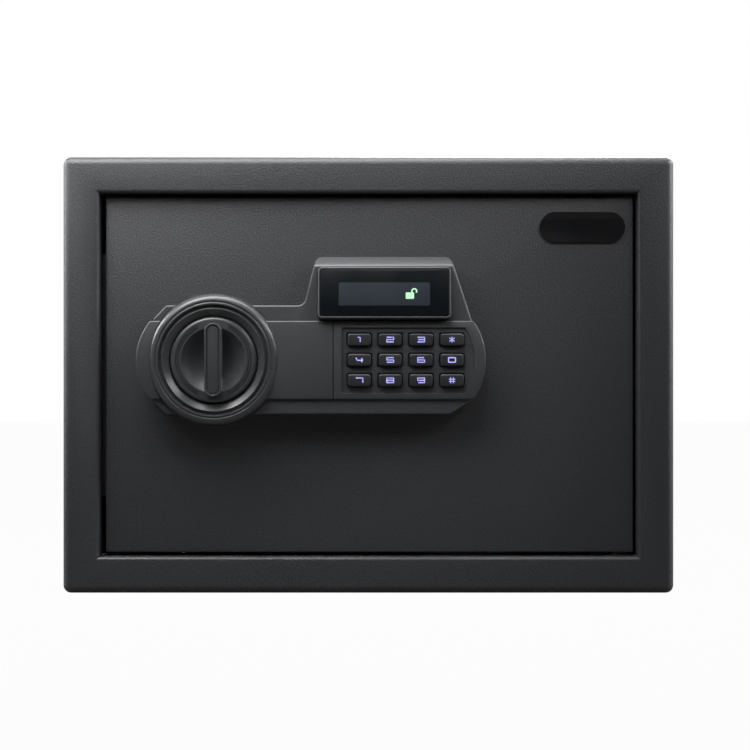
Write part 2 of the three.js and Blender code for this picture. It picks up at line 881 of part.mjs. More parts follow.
// Badge pill, bare
const badgeRight = doorRight - badgeFromHingeEdge + badgeWidth / 2;
const badgeCorners = rectangle(
  badgeRight - badgeWidth,
  doorTop - badgeBelowTop - badgeHeight / 2,
  badgeRight,
  doorTop - badgeBelowTop + badgeHeight / 2,
  badgeHeight / 2 - 0.01,
);
add(door, 'badge_plate', softSlab(
  badgeCorners,
  doorFrontY - seat - badgeThickness,
  doorFrontY - seat,
  badgeEdgeRadius,
), glossBlack);

// Console outlines, from the knob centre
const bandCorners = [
  [-bandLeftReach, -bandHalfHeight, bandLeftCornerRadius],
  [bandRightReach, -bandHalfHeight, bandRightCornerRadius],
  ...bulge(bandRightReach, -bandHalfHeight, bandRightReach, bandHalfHeight, bandRightBulge),
  [bandRightReach, bandHalfHeight, bandRightCornerRadius],
  [-bandLeftReach, bandHalfHeight, bandLeftCornerRadius],
  ...bulge(-bandLeftReach, bandHalfHeight, -bandLeftReach, -bandHalfHeight, bandLeftBulge),
];
const baseCorners = [
  [-baseLeftReach + baseCornerCut, -baseBottom, baseCornerRadius],
  [baseRightReach - baseRightCut, -baseBottom, baseCornerRadius],
  [baseRightReach, -bandHalfHeight, baseCutRadius],
  [baseRightReach, bandHalfHeight - baseRightDrop, baseCutRadius],
  [humpRightTop, humpTop, humpCornerRadius],
  [humpLeftTop, humpTop, humpCornerRadius],
  [humpLeftFoot, baseTop, humpCornerRadius],
  [-baseLeftReach + baseCornerCut, baseTop, baseCornerRadius],
  [-baseLeftReach, baseLeftTop, baseCutRadius],
  [-baseLeftReach, -baseLeftTop, baseCutRadius],
];

// The slope that the brow of the hump is cut to, and the same slope one wall lower.
function browCut(lower) {
  const slope = Math.atan2(humpBrowDrop, humpBrowHeight);
  const foot = humpTop - humpBrowHeight - lower / Math.sin(slope);
  const top = humpTop + past;
  const corners = [
    [foot, baseRise],
    [top, baseRise - ((top - foot) * humpBrowDrop) / humpBrowHeight],
    [top, baseRise + past],
    [foot, baseRise + past],
  ].map(([z, rise]) => new THREE.Vector2(z, rise));
  const width = humpRightTop - humpLeftFoot + past * 2;
  const wedge = new THREE.ExtrudeGeometry(new THREE.Shape(corners), { depth: width, bevelEnabled: false });
  // Shape axes are (z, rise): turn them so that the extrusion runs along +X.
  const turn = new THREE.Matrix4().makeBasis(
    new THREE.Vector3(0, 0, 1),
    new THREE.Vector3(0, -1, 0),
    new THREE.Vector3(1, 0, 0),
  );
  return wedge.applyMatrix4(turn).translate(humpLeftFoot - past, 0, 0);
}

// A block over the band between two uprights, to cut it to length.
function bandLength(left, right) {
  const half = bandHalfHeight + past;
  return slab(rectangle(left, -half, right, half), -bandRise - past, past);
}

function podBlock(inset, front, back) {
  const halfWidth = (podRight - podLeft) / 2;
  const halfHeight = (podTop - podBottom) / 2;
  return slab(rectangle(-halfWidth, -halfHeight, halfWidth, halfHeight, podCornerRadius), front, back, inset);
}
function leanedPod(geometry) {
  const middleX = (podLeft + podRight) / 2;
  const middleZ = (podBottom + podTop) / 2;
  return geometry.rotateX(-THREE.MathUtils.degToRad(podLean)).translate(middleX, -podRise, middleZ);
}

const keyColumns = [0, 1, 2, 3].map((column) => firstKeyFromKnob + column * keyPitchX);
const keyRows = [1, 0, -1].map((row) => row * keyPitchZ);
const boardPosts = [-1, 1].flatMap((side) => [-boardPostHeight, boardPostHeight].map((z) => (
  [(boardLeft + boardRight + side * boardPostSpacing) / 2, z]
)));

// Moulded housing: one thin wall over base, band and hump, with a round seat for the ring.
function keypadHousing() {
  const inner = baseRise - consoleWall;
  const ringSeat = ringFootRise - seat;
  const base = softSlab(baseCorners, -baseRise, -seat, baseEdgeRadius);
  const band = slab(bandCorners, -baseRise, -seat, bandEdgeRadius);
  const wing = softSlab(bandCorners, -bandRise, -seat, bandEdgeRadius);
  const leftHalf = bandLength(-bandLeftReach - bandLeftBulge - past, 0);
  const ringFoot = turnedToFront([[0, seat], [ringRadius, seat], [ringRadius, ringSeat], [0, ringSeat]]);
  const outside = joined(cut(joined(base, band), browCut(0)), common(wing, leftHalf), ringFoot);
  const hollow = joined(
    cut(slab(baseCorners, -inner, past, consoleWall), browCut(consoleWall)),
    slab(bandCorners, -inner, past, consoleWall + bandEdgeRadius),
  );
  const underRing = drill(ringRadius - consoleWall, consoleWall - ringSeat, past, 0, 0, roundSides);
  const overRing = drill(ringRadius + fit, -bandRise - past, -ringSeat, 0, 0, roundSides);
  const knobWell = drill(knobRadius + knobGap + fit, -bandRise, past, 0, 0, roundSides);
  const seatWall = drill(ringRadius + fit + consoleWall, -bandRise, past * 2, 0, 0, roundSides);
  const windowX = keyWidth / 2 + keyHoleGap + keyWindowMargin;
  const windowZ = keyPitchZ + keyHeight / 2 + keyHoleGap + keyWindowMargin;
  const keyWindow = rectangle(keyColumns[0] - windowX, -windowZ, keyColumns.at(-1) + windowX, windowZ);
  const shell = cut(
    outside,
    joined(cut(hollow, seatWall), underRing),
    overRing,
    knobWell,
    drill(lockFlangeRadius + fit, -bandRise, -inner + past, lockFromKnob),
    slab(keyWindow, -bandRise, -inner + past),
    leanedPod(podBlock(-fit, -past, podPocketDepth)),
  );
  const posts = boardPosts.map(([x, z]) => (
    turnedToFront([
      [0, boardRise + seat],
      [boardPostRadius, boardRise + seat],
      [boardPostRadius, inner + consoleWall / 2],
      [0, inner + consoleWall / 2],
    ], screwSides).translate(x, 0, z)
  ));
  return joined(shell, ...posts);
}

// Ring round the knob: shoulder, fine groove, bead, deep groove, lip and a funnel to the knob.
function knobRing() {
  const shoulder = Array.from({ length: ringShoulderSteps + 1 }, (_, k) => {
    const angle = ((Math.PI / 2) * k) / ringShoulderSteps;
    return [
      ringRadius - ringShoulderWidth * (1 - Math.cos(angle)),
      ringShoulderRise + (ringTopRise - ringShoulderRise) * Math.sin(angle),
    ];
  });
  const shoulderInner = ringRadius - ringShoulderWidth;
  const beadOuter = shoulderInner - ringFineGrooveWidth;
  const beadInner = beadOuter - ringBeadWidth;
  const lipOuter = beadInner - ringGrooveWidth;
  const lipInner = lipOuter - ringLipWidth;
  const lipTop = ringTopRise - ringLipDrop;
  const grooveFloor = ringTopRise - ringGrooveDepth;
  const innerRadius = knobRadius + knobGap;
  const funnelFoot = ringTopRise - ringFunnelDrop;
  const channelTop = grooveFloor - consoleWall;
  return turnedToFront([
    [ringRadius, ringFootRise],
    ...shoulder,
    [shoulderInner - ringFineGrooveWidth / 2, ringTopRise - ringFineGrooveDepth],
    [beadOuter, ringTopRise - ringFlank / 2],
    [beadOuter - ringFlank, ringTopRise],
    [beadInner + ringFlank, ringTopRise],
    [beadInner, ringTopRise - ringFlank],
    [beadInner - ringFlank, grooveFloor],
    [beadInner - ringFlank * 3, grooveFloor],
    [lipOuter, lipTop - ringFlank],
    [lipOuter - ringFlank, lipTop],
    [lipInner, lipTop],
    [innerRadius + ringFlank, funnelFoot],
    [innerRadius, funnelFoot - ringFlank],
    [innerRadius, ringFootRise],
    [lipOuter, ringFootRise],
    [lipOuter + ringFlank, channelTop],
    [ringRadius - consoleWall * 1.5, channelTop - consoleWall / 2],
    [ringRadius - consoleWall, ringFootRise],
    [ringRadius, ringFootRise],
  ]);
}

function gripOutline(inset) {
  const half = gripWidth / 2;
  const reach = gripLength / 2;
  return outline(rectangle(-half, -reach, half, reach, half - 0.01), inset, gripArcSteps);
}

// Knob: rim with a fine groove, a bowl on both sides of the grip bar, and a hub behind.
function knob() {
  const bowlRadius = (dishRadius ** 2 + dishDepth ** 2) / (2 * dishDepth);
  const bowlSweep = Math.asin(dishRadius / bowlRadius);
  const bowl = Array.from({ length: bowlSteps + 1 }, (_, k) => {
    const angle = bowlSweep * (1 - k / bowlSteps);
    return [bowlRadius * Math.sin(angle), knobRimRise - dishDepth + bowlRadius * (1 - Math.cos(angle))];
  });
  bowl.at(-1)[0] = 0;
  const grooveHalf = knobGrooveWidth / 2;
  const body = turnedToFront([
    [0, knobHubRise],
    [knobHubRadius, knobHubRise],
    [knobHubRadius, knobBackRise],
    [knobRadius - knobEdgeRadius, knobBackRise],
    [knobRadius, knobBackRise + knobEdgeRadius],
    [knobRadius, knobRimRise - knobEdgeRadius],
    [knobRadius - knobEdgeRadius, knobRimRise],
    [knobGrooveRadius + grooveHalf, knobRimRise],
    [knobGrooveRadius + grooveHalf / 2, knobRimRise - knobGrooveDepth],
    [knobGrooveRadius - grooveHalf / 2, knobRimRise - knobGrooveDepth],
    [knobGrooveRadius - grooveHalf, knobRimRise],
    ...bowl,
  ]);
  const edgeStep = gripEdgeRadius * (1 - Math.SQRT1_2);
  const bar = loft([
    { y: -knobBackRise - knobEdgeRadius, points: gripOutline(-gripFootFlare) },
    { y: -knobRimRise, points: gripOutline(-gripRimFlare) },
    { y: -gripRise + gripEdgeRadius, points: gripOutline(0) },
    { y: -gripRise + edgeStep, points: gripOutline(edgeStep) },
    { y: -gripRise, points: gripOutline(gripEdgeRadius) },
    { y: -gripRise, points: gripOutline(gripLipWidth) },
    { y: -gripRise + gripLipHeight, points: gripOutline(gripLipWidth + gripLipSlope) },
  ]);
  const bore = drill(spindleRadius + fit, -knobBackRise - knobBoreDepth, 0);
  return cut(joined(body, bar), bore);
}

// Display pod: a lipped frame with a glass pane in front of the display module.
function displayBezel() {
  const halfWidth = (podRight - podLeft) / 2;
  const halfHeight = (podTop - podBottom) / 2;
  const corners = rectangle(-halfWidth, -halfHeight, halfWidth, halfHeight, podCornerRadius);
  const frame = softSlab(corners, 0, podDepth, podEdgeRadius);
  const pane = slab(corners, -past, glassSink + glassThickness + seat, podLip);
  const pocket = slab(rectangle(
    -moduleWidth / 2 - fit,
    -moduleHeight / 2 - fit,
    moduleWidth / 2 + fit,
    moduleHeight / 2 + fit,
  ), 0, podDepth + past);
  return cut(frame, pane, pocket);
}

const displayPod = group(consoleUnit, (podLeft + podRight) / 2, -podRise, (podBottom + podTop) / 2);
displayPod.rotation.x = -THREE.MathUtils.degToRad(podLean);
const moduleFront = glassSink + glassThickness + seat;

add(consoleUnit, 'keypad_housing', keypadHousing(), mouldedPlastic);
add(consoleUnit, 'knob_ring', knobRing(), ringPlastic);
add(consoleUnit, 'knob', knob(), ringPlastic);
add(displayPod, 'display_bezel', displayBezel(), mouldedPlastic);
add(displayPod, 'display_glass', podBlock(podLip + fit, glassSink, glassSink + glassThickness), glossBlack);
add(displayPod, 'display_module', slab(rectangle(
  -moduleWidth / 2,
  -moduleHeight / 2,
  moduleWidth / 2,
  moduleHeight / 2,
), moduleFront, moduleFront + moduleThickness), displayGrey);

// Keypad surround: the band right of the seam, with a recess and a hole for each key.
const surroundFoot = baseRise + seat;

function bandFrom(left, right) {
  const whole = softSlab(bandCorners, -bandRise, -surroundFoot, bandEdgeRadius);
  return common(whole, bandLength(left, right));
}

function keypadSurround() {
  const panel = bandFrom(seamFromKnob + fit / 2, bandRightReach + bandRightBulge + past);
  const low = recessLift - recessHalfHeight;
  const high = recessLift + recessHalfHeight;
  const recess = [
    [recessLeft, low, recessLeftRadius],
    [recessRight, low, recessRightRadius],
    ...bulge(recessRight, low, recessRight, high, recessBulge),
    [recessRight, high, recessRightRadius],
    [recessLeft, high, recessLeftRadius],
  ];
  const floor = -bandRise + recessDepth;
  const pool = loft([
    { y: -bandRise - past, points: outline(recess) },
    { y: -bandRise, points: outline(recess) },
    { y: floor, points: outline(recess, recessDraft) },
  ]);
  const holes = keyRows.flatMap((z) => keyColumns.map((x) => slab(
    rectangle(
      x - keyWidth / 2 - keyHoleGap,
      z - keyHeight / 2 - keyHoleGap,
      x + keyWidth / 2 + keyHoleGap,
      z + keyHeight / 2 + keyHoleGap,
      keyCornerRadius,
    ),
    -bandRise,
    -baseRise,
    0,
    keyArcSteps,
  )));
  return cut(panel, pool, ...holes);
}

// Key cover over the emergency lock: a hollow cap whose left side follows the ring.
function keyCover() {
  const ringArc = drill(ringRadius + fit * 2, -bandRise - past, 0, 0, 0, roundSides);
  const cap = cut(bandFrom(0, seamFromKnob - fit / 2), ringArc);
  const hollow = cut(
    slab(rectangle(0, -bandHalfHeight, seamFromKnob, bandHalfHeight), keyCoverSkin - bandRise, 0, keyCoverSkin),
    drill(ringRadius + fit * 2 + keyCoverSkin, -bandRise - past, past, 0, 0, roundSides),
  );
  return cut(cap, hollow);
}

function key() {
  const corners = rectangle(-keyWidth / 2, -keyHeight / 2, keyWidth / 2, keyHeight / 2, keyCornerRadius);
  const cap = loft([
    [-baseRise + seat, 0],
    [-keyRise + keyBevelHeight, 0],
    [-keyRise + keyBevelHeight * (1 - Math.SQRT1_2), keyBevel * (1 - Math.SQRT1_2)],
    [-keyRise, keyBevel],
  ].map(([y, inset]) => ({ y, points: outline(corners, inset, keyArcSteps) })));
  const flange = slab(
    corners,
    -baseRise,
    -baseRise + keyFlangeThickness,
    -keyHoleGap - keyFlangeOverlap,
    keyArcSteps / 2,
  );
  const stemFoot = -boardRise - seat - keyTravel;
  const half = keyStemWidth / 2;
  const stem = slab(rectangle(-half, -half, half, half), -baseRise + seat, stemFoot);
  return joined(cap, flange, stem);
}

add(consoleUnit, 'keypad_surround', keypadSurround(), mouldedPlastic);
add(consoleUnit, 'key_cover', keyCover(), mouldedPlastic);
const keyNames = [
  ['1', '2', '3', 'star'],
  ['4', '5', '6', '0'],
  ['7', '8', '9', 'hash'],
];
keyNames.forEach((names, row) => names.forEach((name, column) => {
  add(consoleUnit, `key_${name}`, key(), keyPlastic, keyColumns[column], 0, keyRows[row]);
}));

function circuitBoard() {
  return slab([
    [boardLeft, boardBottom, boardCornerRadius],
    [boardRight - boardLowerCut, boardBottom, boardCornerRadius],
    [boardRight, -boardCornerHeight, boardCornerRadius],
    [boardRight, boardCornerHeight, boardCornerRadius],
    [boardRight - boardUpperCut, boardTop, boardCornerRadius],
    [boardLeft, boardTop, boardCornerRadius],
  ], -boardRise, -boardRise + boardThickness);
}
add(consoleUnit, 'circuit_board', circuitBoard(), boardGreen);

// Emergency lock: a flanged barrel through the plate, and its cylinder with keyway and cam.
function lockBody() {
  const bore = lockRadius + fit;
  const rear = -doorThickness - lockBehindPlate;
  return turnedToFront([
    [bore, rear],
    [lockBodyRadius, rear],
    [lockBodyRadius, lockFaceRise - lockFlangeThickness],
    [lockFlangeRadius, lockFaceRise - lockFlangeThickness],
    [lockFlangeRadius, lockFaceRise],
    [bore, lockFaceRise],
    [bore, rear],
  ], smallSides);
}

function lockCylinder() {
  const rear = doorThickness + lockBehindPlate + seat;
  const plug = turnedToFront([
    [0, -rear],
    [lockRadius, -rear],
    [lockRadius, lockFaceRise - lockEdge],
    [lockRadius - lockEdge, lockFaceRise],
    [0, lockFaceRise],
  ], smallSides);
  const half = camWidth / 2;
  const cam = slab(
    rectangle(-half, -half, camReach, half, half - 0.01),
    rear - 0.01,
    rear + camThickness,
  );
  const keyway = slab(
    rectangle(-keywayWidth / 2, -keywayHeight / 2, keywayWidth / 2, keywayHeight / 2),
    -lockFaceRise - past,
    -lockFaceRise + keywayDepth,
  );
  return cut(joined(plug, cam), keyway);
}

add(consoleUnit, 'lock_body', lockBody(), brass, lockFromKnob, 0, 0);
add(consoleUnit, 'lock_cylinder', lockCylinder(), brass, lockFromKnob, 0, 0);

// Spindle and crank. The crank pin swings from right to left over the top by a quarter turn,
// which draws the carriage along by the bolt travel.
const crankRadius = boltTravel / 2 / Math.sin(Math.PI / 4);
const crankPinX = boltTravel / 2;
const crankPinZ = boltTravel / 2;
const crankFront = crankSetBack;
const crankBack = crankFront + crankThickness;
const webFront = crankBack + webGap;
const webBack = webFront + carriageSheet;

function knobSpindle() {
  const shaft = drill(spindleRadius, -doorThickness - knobBackRise - knobBoreDepth + fit, crankBack);
  const arm = loft([crankFront, crankBack].map((y) => {
    const points = [];
    const tip = crankPinRadius * 2;
    const tangent = Math.acos((crankWebRadius - tip) / crankRadius);
    for (let k = 0; k <= crankTailSteps; k += 1) {
      const angle = Math.PI / 4 + tangent + ((2 * Math.PI - 2 * tangent) * k) / crankTailSteps;
      points.push(new THREE.Vector2(crankWebRadius * Math.cos(angle), crankWebRadius * Math.sin(angle)));
    }
    for (let k = 0; k <= crankTipSteps; k += 1) {
      const angle = Math.PI / 4 - tangent + (2 * tangent * k) / crankTipSteps;
      points.push(new THREE.Vector2(crankPinX + tip * Math.cos(angle), crankPinZ + tip * Math.sin(angle)));
    }
    return { y, points };
  }));
  const pinRoot = (crankFront + crankBack) / 2;
  const pin = drill(crankPinRadius, pinRoot, webBack + crankPinProud, crankPinX, crankPinZ, screwSides);
  return joined(shaft, arm, pin);
}

function spindleBush() {
  const bore = spindleRadius + fit;
  const flangeRadius = spindleBushRadius + spindleBushWall;
  const rear = -doorThickness - spindleBushBehindPlate;
  return turnedToFront([
    [bore, rear],
    [spindleBushRadius, rear],
    [spindleBushRadius, seat],
    [flangeRadius, seat],
    [flangeRadius, seat + spindleBushFlange],
    [bore, seat + spindleBushFlange],
    [bore, rear],
  ], smallSides);
}

// Carriage: a strap with an upturned flange for the bolts, and an arm with slots for the
// crank pin and the guide stud and a notch for the solenoid plunger.
const carriageLeft = doorLeft + panInsetLock + boltLength - knobX + seat;
const carriageHalf = boltSpacing / 2 + carriageEndMargin;

function boltCarriage() {
  const strapRight = carriageLeft + carriageStrapWidth;
  const corners = [
    [carriageLeft, -carriageHalf, 0],
    [strapRight, -carriageHalf, carriageCornerRadius],
    [strapRight, -carriageArmHalfHeight, carriageInnerRadius],
    [carriageArmReach, -carriageArmHalfHeight, carriageCornerRadius],
    [carriageArmReach, carriageArmHalfHeight, carriageCornerRadius],
    [strapRight, carriageArmHalfHeight, carriageInnerRadius],
    [strapRight, carriageHalf, carriageCornerRadius],
    [carriageLeft, carriageHalf, 0],
  ];
  const web = slab(corners, webFront, webBack);
  const flangeBack = boltAxisY - doorBackY + boltRadius;
  const flange = slab(
    rectangle(carriageLeft, -carriageHalf, carriageLeft + carriageSheet, carriageHalf),
    webFront,
    flangeBack,
  );
  const pinRoom = crankPinRadius + slotClearance;
  const crankSlot = rectangle(
    crankPinX - pinRoom,
    crankPinZ - pinRoom,
    crankPinX + pinRoom,
    crankRadius + pinRoom,
    pinRoom - 0.01,
  );
  const studRoom = guideStudRadius + fit;
  const guideSlot = rectangle(
    guideFromKnob - studRoom,
    -studRoom,
    guideFromKnob + boltTravel + studRoom,
    studRoom,
    studRoom - 0.01,
  );
  const notchX = solenoidFromKnob + boltTravel;
  const notchHalf = plungerRadius + slotClearance;
  const notch = rectangle(
    notchX - notchHalf,
    carriageArmHalfHeight - notchDepth,
    notchX + notchHalf,
    carriageArmHalfHeight + notchDepth,
  );
  const reach = [webFront - past, webBack + past];
  return cut(joined(web, flange), slab(crankSlot, ...reach), slab(guideSlot, ...reach), slab(notch, ...reach));
}

function bolt() {
  return turned([
    [0, 0],
    [boltRadius, 0],
    [boltRadius, boltLength - boltTipChamfer],
    [boltRadius - boltTipChamfer, boltLength],
    [0, boltLength],
  ], smallSides).rotateZ(Math.PI / 2);
}

function guideStud() {
  return turned([
    [0, seat],
    [guideHeadRadius, seat],
    [guideHeadRadius, webFront - fit],
    [guideStudRadius, webFront - fit],
    [guideStudRadius, webBack + fit],
    [guideHeadRadius, webBack + fit],
    [guideHeadRadius, webBack + fit + guideHeadThickness],
    [0, webBack + fit + guideHeadThickness],
  ], smallSides);
}

add(consoleUnit, 'spindle_bush', spindleBush(), nylon);
add(boltWork, 'knob_spindle', knobSpindle(), steel);
add(boltWork, 'bolt_carriage', boltCarriage(), zincSteel);
['lower', 'upper'].forEach((level, i) => {
  add(boltWork, `bolt_${level}`, bolt(), steel, carriageLeft - seat, boltAxisY - doorBackY, boltLevels[i]);
});
add(boltWork, 'guide_stud', guideStud(), steel, guideFromKnob, 0, 0);

// Solenoid above the arm: its sprung plunger drops into the notch when the bolts are out.
const plungerY = (webFront + webBack) / 2;
const plungerTipZ = carriageArmHalfHeight + plungerTipGap;
const collarBottom = plungerTipZ + plungerCollarHeight;
const collarTop = collarBottom + plungerCollarHeight;
const solenoidBottom = collarTop + springGap;

function solenoidBody() {
  const half = solenoidWidth / 2;
  const top = solenoidBottom + solenoidHeight;
  const nearY = seat;
  const farY = plungerY * 2 - seat;
  const yoke = cut(
    slab(rectangle(-half, solenoidBottom, half, top), nearY, farY),
    slab(rectangle(
      -half + solenoidSheet,
      solenoidBottom + solenoidSheet,
      half + past,
      top - solenoidSheet,
    ), nearY - past, farY + past),
  );
  const coil = turnedUpright([
    [0, solenoidBottom + solenoidSheet / 2],
    [coilRadius, solenoidBottom + solenoidSheet / 2],
    [coilRadius, top - solenoidSheet / 2],
    [0, top - solenoidSheet / 2],
  ], smallSides).translate(0, plungerY, 0);
  const bore = turnedUpright([
    [0, solenoidBottom - past],
    [plungerRadius + fit, solenoidBottom - past],
    [plungerRadius + fit, solenoidBottom + plungerDeep + plungerTravel + fit],
    [0, solenoidBottom + plungerDeep + plungerTravel + fit],
  ], smallSides).translate(0, plungerY, 0);
  return cut(joined(yoke, coil), bore);
}

function plunger() {
  return turnedUpright([
    [0, plungerTipZ],
    [plungerRadius - plungerChamfer, plungerTipZ],
    [plungerRadius, plungerTipZ + plungerChamfer],
    [plungerRadius, collarBottom],
    [plungerCollarRadius, collarBottom],
    [plungerCollarRadius, collarTop],
    [plungerRadius, collarTop],
    [plungerRadius, solenoidBottom + plungerDeep],
    [0, solenoidBottom + plungerDeep],
  ], smallSides);
}

// Open coil spring between the collar and the solenoid.
class Helix extends THREE.Curve {
  constructor(radius, bottom, top, turns) {
    super();
    Object.assign(this, { radius, bottom, top, turns });
  }

  getPoint(t, target = new THREE.Vector3()) {
    const angle = t * this.turns * Math.PI * 2;
    const z = this.bottom + (this.top - this.bottom) * t;
    return target.set(this.radius * Math.cos(angle), this.radius * Math.sin(angle), z);
  }
}

function plungerSpring() {
  const room = springWireRadius + seat;
  const path = new Helix(
    plungerRadius + room + springWireRadius,
    collarTop + room,
    solenoidBottom - room,
    springTurns,
  );
  const section = new THREE.Shape(
    new THREE.Path().absarc(0, 0, springWireRadius, 0, Math.PI * 2).getPoints(springWireSides).slice(0, -1),
  );
  return new THREE.ExtrudeGeometry(section, {
    steps: springTurns * springStepsPerTurn,
    extrudePath: path,
    bevelEnabled: false,
    curveSegments: springWireSides,
  });
}

add(boltWork, 'solenoid_body', solenoidBody(), zincSteel, solenoidFromKnob, 0, 0);
add(boltWork, 'solenoid_plunger', plunger(), steel, solenoidFromKnob, plungerY, 0);
add(boltWork, 'plunger_spring', closed(plungerSpring()), steel, solenoidFromKnob, plungerY, 0);

export default safe;
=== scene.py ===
import math

import bpy
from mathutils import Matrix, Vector


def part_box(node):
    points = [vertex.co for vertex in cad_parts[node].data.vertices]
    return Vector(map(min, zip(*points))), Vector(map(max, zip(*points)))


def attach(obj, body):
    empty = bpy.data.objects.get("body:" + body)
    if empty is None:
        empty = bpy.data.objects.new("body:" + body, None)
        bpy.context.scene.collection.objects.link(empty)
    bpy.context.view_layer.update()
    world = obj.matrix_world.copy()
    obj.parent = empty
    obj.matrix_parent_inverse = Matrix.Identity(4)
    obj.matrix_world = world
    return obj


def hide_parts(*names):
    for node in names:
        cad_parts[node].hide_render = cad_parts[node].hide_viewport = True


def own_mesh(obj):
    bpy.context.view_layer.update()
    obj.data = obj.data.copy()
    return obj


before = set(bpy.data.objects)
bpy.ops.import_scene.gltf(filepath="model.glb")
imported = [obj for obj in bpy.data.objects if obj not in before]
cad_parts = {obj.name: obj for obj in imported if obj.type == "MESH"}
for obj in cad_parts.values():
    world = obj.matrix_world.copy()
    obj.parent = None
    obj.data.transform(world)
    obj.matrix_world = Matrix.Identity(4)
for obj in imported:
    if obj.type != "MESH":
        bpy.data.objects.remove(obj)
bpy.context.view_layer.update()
bpy.ops.object.select_all(action='DESELECT')
scene = bpy.context.scene
print("frame loaded")


# Places that the frame gives, in millimetres

def boxOf(node):
    low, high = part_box(node)
    low, high = low * 1000, high * 1000
    return low, high, (low + high) / 2


ringMiddle = boxOf('knob_ring')[2]
plateLow, plateHigh = boxOf('door_plate')[:2]
knobPlace = (ringMiddle.x, plateLow.y, ringMiddle.z)
toFront = (math.radians(90), 0, 0)  # stands a piece up that was modelled lying on its back
toBack = (math.radians(-90), 0, 0)
pillSlack = 0.02  # a pill's end radius stays this much under half its width
touch = 0.01  # places nearer than this are the same
far = 200  # further than anything on the door reaches from the knob


# Modelling, in millimetres

def selectOnly(piece):
    bpy.ops.object.select_all(action='DESELECT')
    piece.select_set(True)
    bpy.context.view_layer.objects.active = piece


def pick(piece, faces=None, edges=None):
    # Opens the piece in edit mode with just those faces or edges selected
    selectOnly(piece)
    bpy.ops.object.mode_set(mode='EDIT')
    bpy.ops.mesh.select_mode(type='FACE' if faces else 'EDGE')
    bpy.ops.mesh.select_all(action='DESELECT')
    doneEditing()
    mesh = piece.data
    if faces:
        for face in mesh.polygons:
            face.select = faces(face)
    else:
        for edge in mesh.edges:
            edge.select = edges(*[mesh.vertices[i].co for i in edge.vertices])
    bpy.ops.object.mode_set(mode='EDIT')


def upward(face):
    return face.normal.z > 0.9


def downward(face):
    return face.normal.z < -0.9


def everyFace(face):
    return True


def editAll():
    bpy.ops.object.mode_set(mode='EDIT')
    bpy.ops.mesh.select_all(action='SELECT')


def doneEditing():
    bpy.ops.object.mode_set(mode='OBJECT')


def turnOutwards():
    # All faces of the mesh in edit mode, which is then left
    bpy.ops.mesh.select_all(action='SELECT')
    bpy.ops.mesh.normals_make_consistent(inside=False)
    doneEditing()


def applyPlace():
    bpy.ops.object.transform_apply(location=True, rotation=True, scale=True)


def modify(piece, kind, **settings):
    selectOnly(piece)
    modifier = piece.modifiers.new(kind.title(), kind)
    for key, value in settings.items():
        setattr(modifier, key, value)
    bpy.ops.object.modifier_apply(modifier=modifier.name)


def soften(piece, width, segments, angle):
    # Rounds every edge that is sharper than the angle
    modify(piece, 'BEVEL', width=width, segments=segments, limit_method='ANGLE',
           angle_limit=math.radians(angle), miter_outer='MITER_ARC')


def roundEdges(piece, width, segments, faces=None, edges=None):
    # Rounds the outline of those faces, or just those edges
    pick(piece, faces, edges)
    if faces:
        bpy.ops.mesh.region_to_loop()
    bpy.ops.mesh.bevel(offset=width, segments=segments, profile=0.5)
    doneEditing()


def resizeFaces(piece, faces, factors):
    pick(piece, faces=faces)
    bpy.ops.transform.resize(value=factors)
    doneEditing()


def combine(piece, other, operation):
    modify(piece, 'BOOLEAN', operation=operation, solver='EXACT', object=other)
    bpy.data.objects.remove(other)


def cutAway(piece, *tools):
    for tool in tools:
        combine(piece, tool, 'DIFFERENCE')


def addOn(piece, *others):
    for other in others:
        combine(piece, other, 'UNION')


def joinInto(piece, *others):
    selectOnly(piece)
    for other in others:
        other.select_set(True)
    bpy.ops.object.join()


def roundedOutline(corners, inset=0, steps=8):
    # corners are (x, y, radius) anticlockwise; an inset moves every side inwards
    points = []
    for i, (x, y, radius) in enumerate(corners):
        before = Vector(corners[i - 1][:2])
        after = Vector(corners[(i + 1) % len(corners)][:2])
        here = Vector((x, y))
        into = (here - before).normalized()
        out = (after - here).normalized()
        normalInto = Vector((-into.y, into.x))
        normalOut = Vector((-out.y, out.x))
        corner = here + (normalInto + normalOut) * (inset / (1 + normalInto.dot(normalOut)))
        turn = math.atan2(into.x * out.y - into.y * out.x, into.dot(out))
        side = math.copysign(1, turn)
        bend = radius - side * inset if radius else 0
        if bend <= 0.05:
            points.append(corner)
            continue
        start = corner - into * bend * math.tan(abs(turn) / 2)
        centre = start + normalInto * side * bend
        arm = start - centre
        for k in range(steps + 1):
            angle = turn * k / steps
            points.append(centre + Vector((
                arm.x * math.cos(angle) - arm.y * math.sin(angle),
                arm.x * math.sin(angle) + arm.y * math.cos(angle))))
    return points


def rectangle(left, bottom, right, top, radius=0):
    return [(left, bottom, radius), (right, bottom, radius),
            (right, top, radius), (left, top, radius)]


def centred(halfX, halfY, radius=0, x=0, y=0):
    return rectangle(x - halfX, y - halfY, x + halfX, y + halfY, radius)


def bulge(x, fromY, toY, height, steps=20):
    # Points of a shallow arc between two heights, standing out to one side
    half = abs(toY - fromY) / 2
    radius = (half * half + height * height) / (2 * height)
    sweep = math.asin(half / radius)
    side = 1 if toY > fromY else -1
    middle = (fromY + toY) / 2
    arc = []
    for k in range(1, steps):
        angle = sweep * (2 * k / steps - 1)
        out = height - radius * (1 - math.cos(angle))
        arc.append((x + side * out, side * radius * math.sin(angle) + middle, 0))
    return arc


def quarter(radius, foot, width, height, steps, count=None):
    # Points up a quarter round from its outer foot, all of them or the first few
    angles = [math.radians(90 * k / steps) for k in range(count or steps + 1)]
    return [(radius - width * (1 - math.cos(a)), foot + height * math.sin(a)) for a in angles]


def near(x, y, offsets):
    return [(x + offX, y + offY) for offX, offY in offsets]


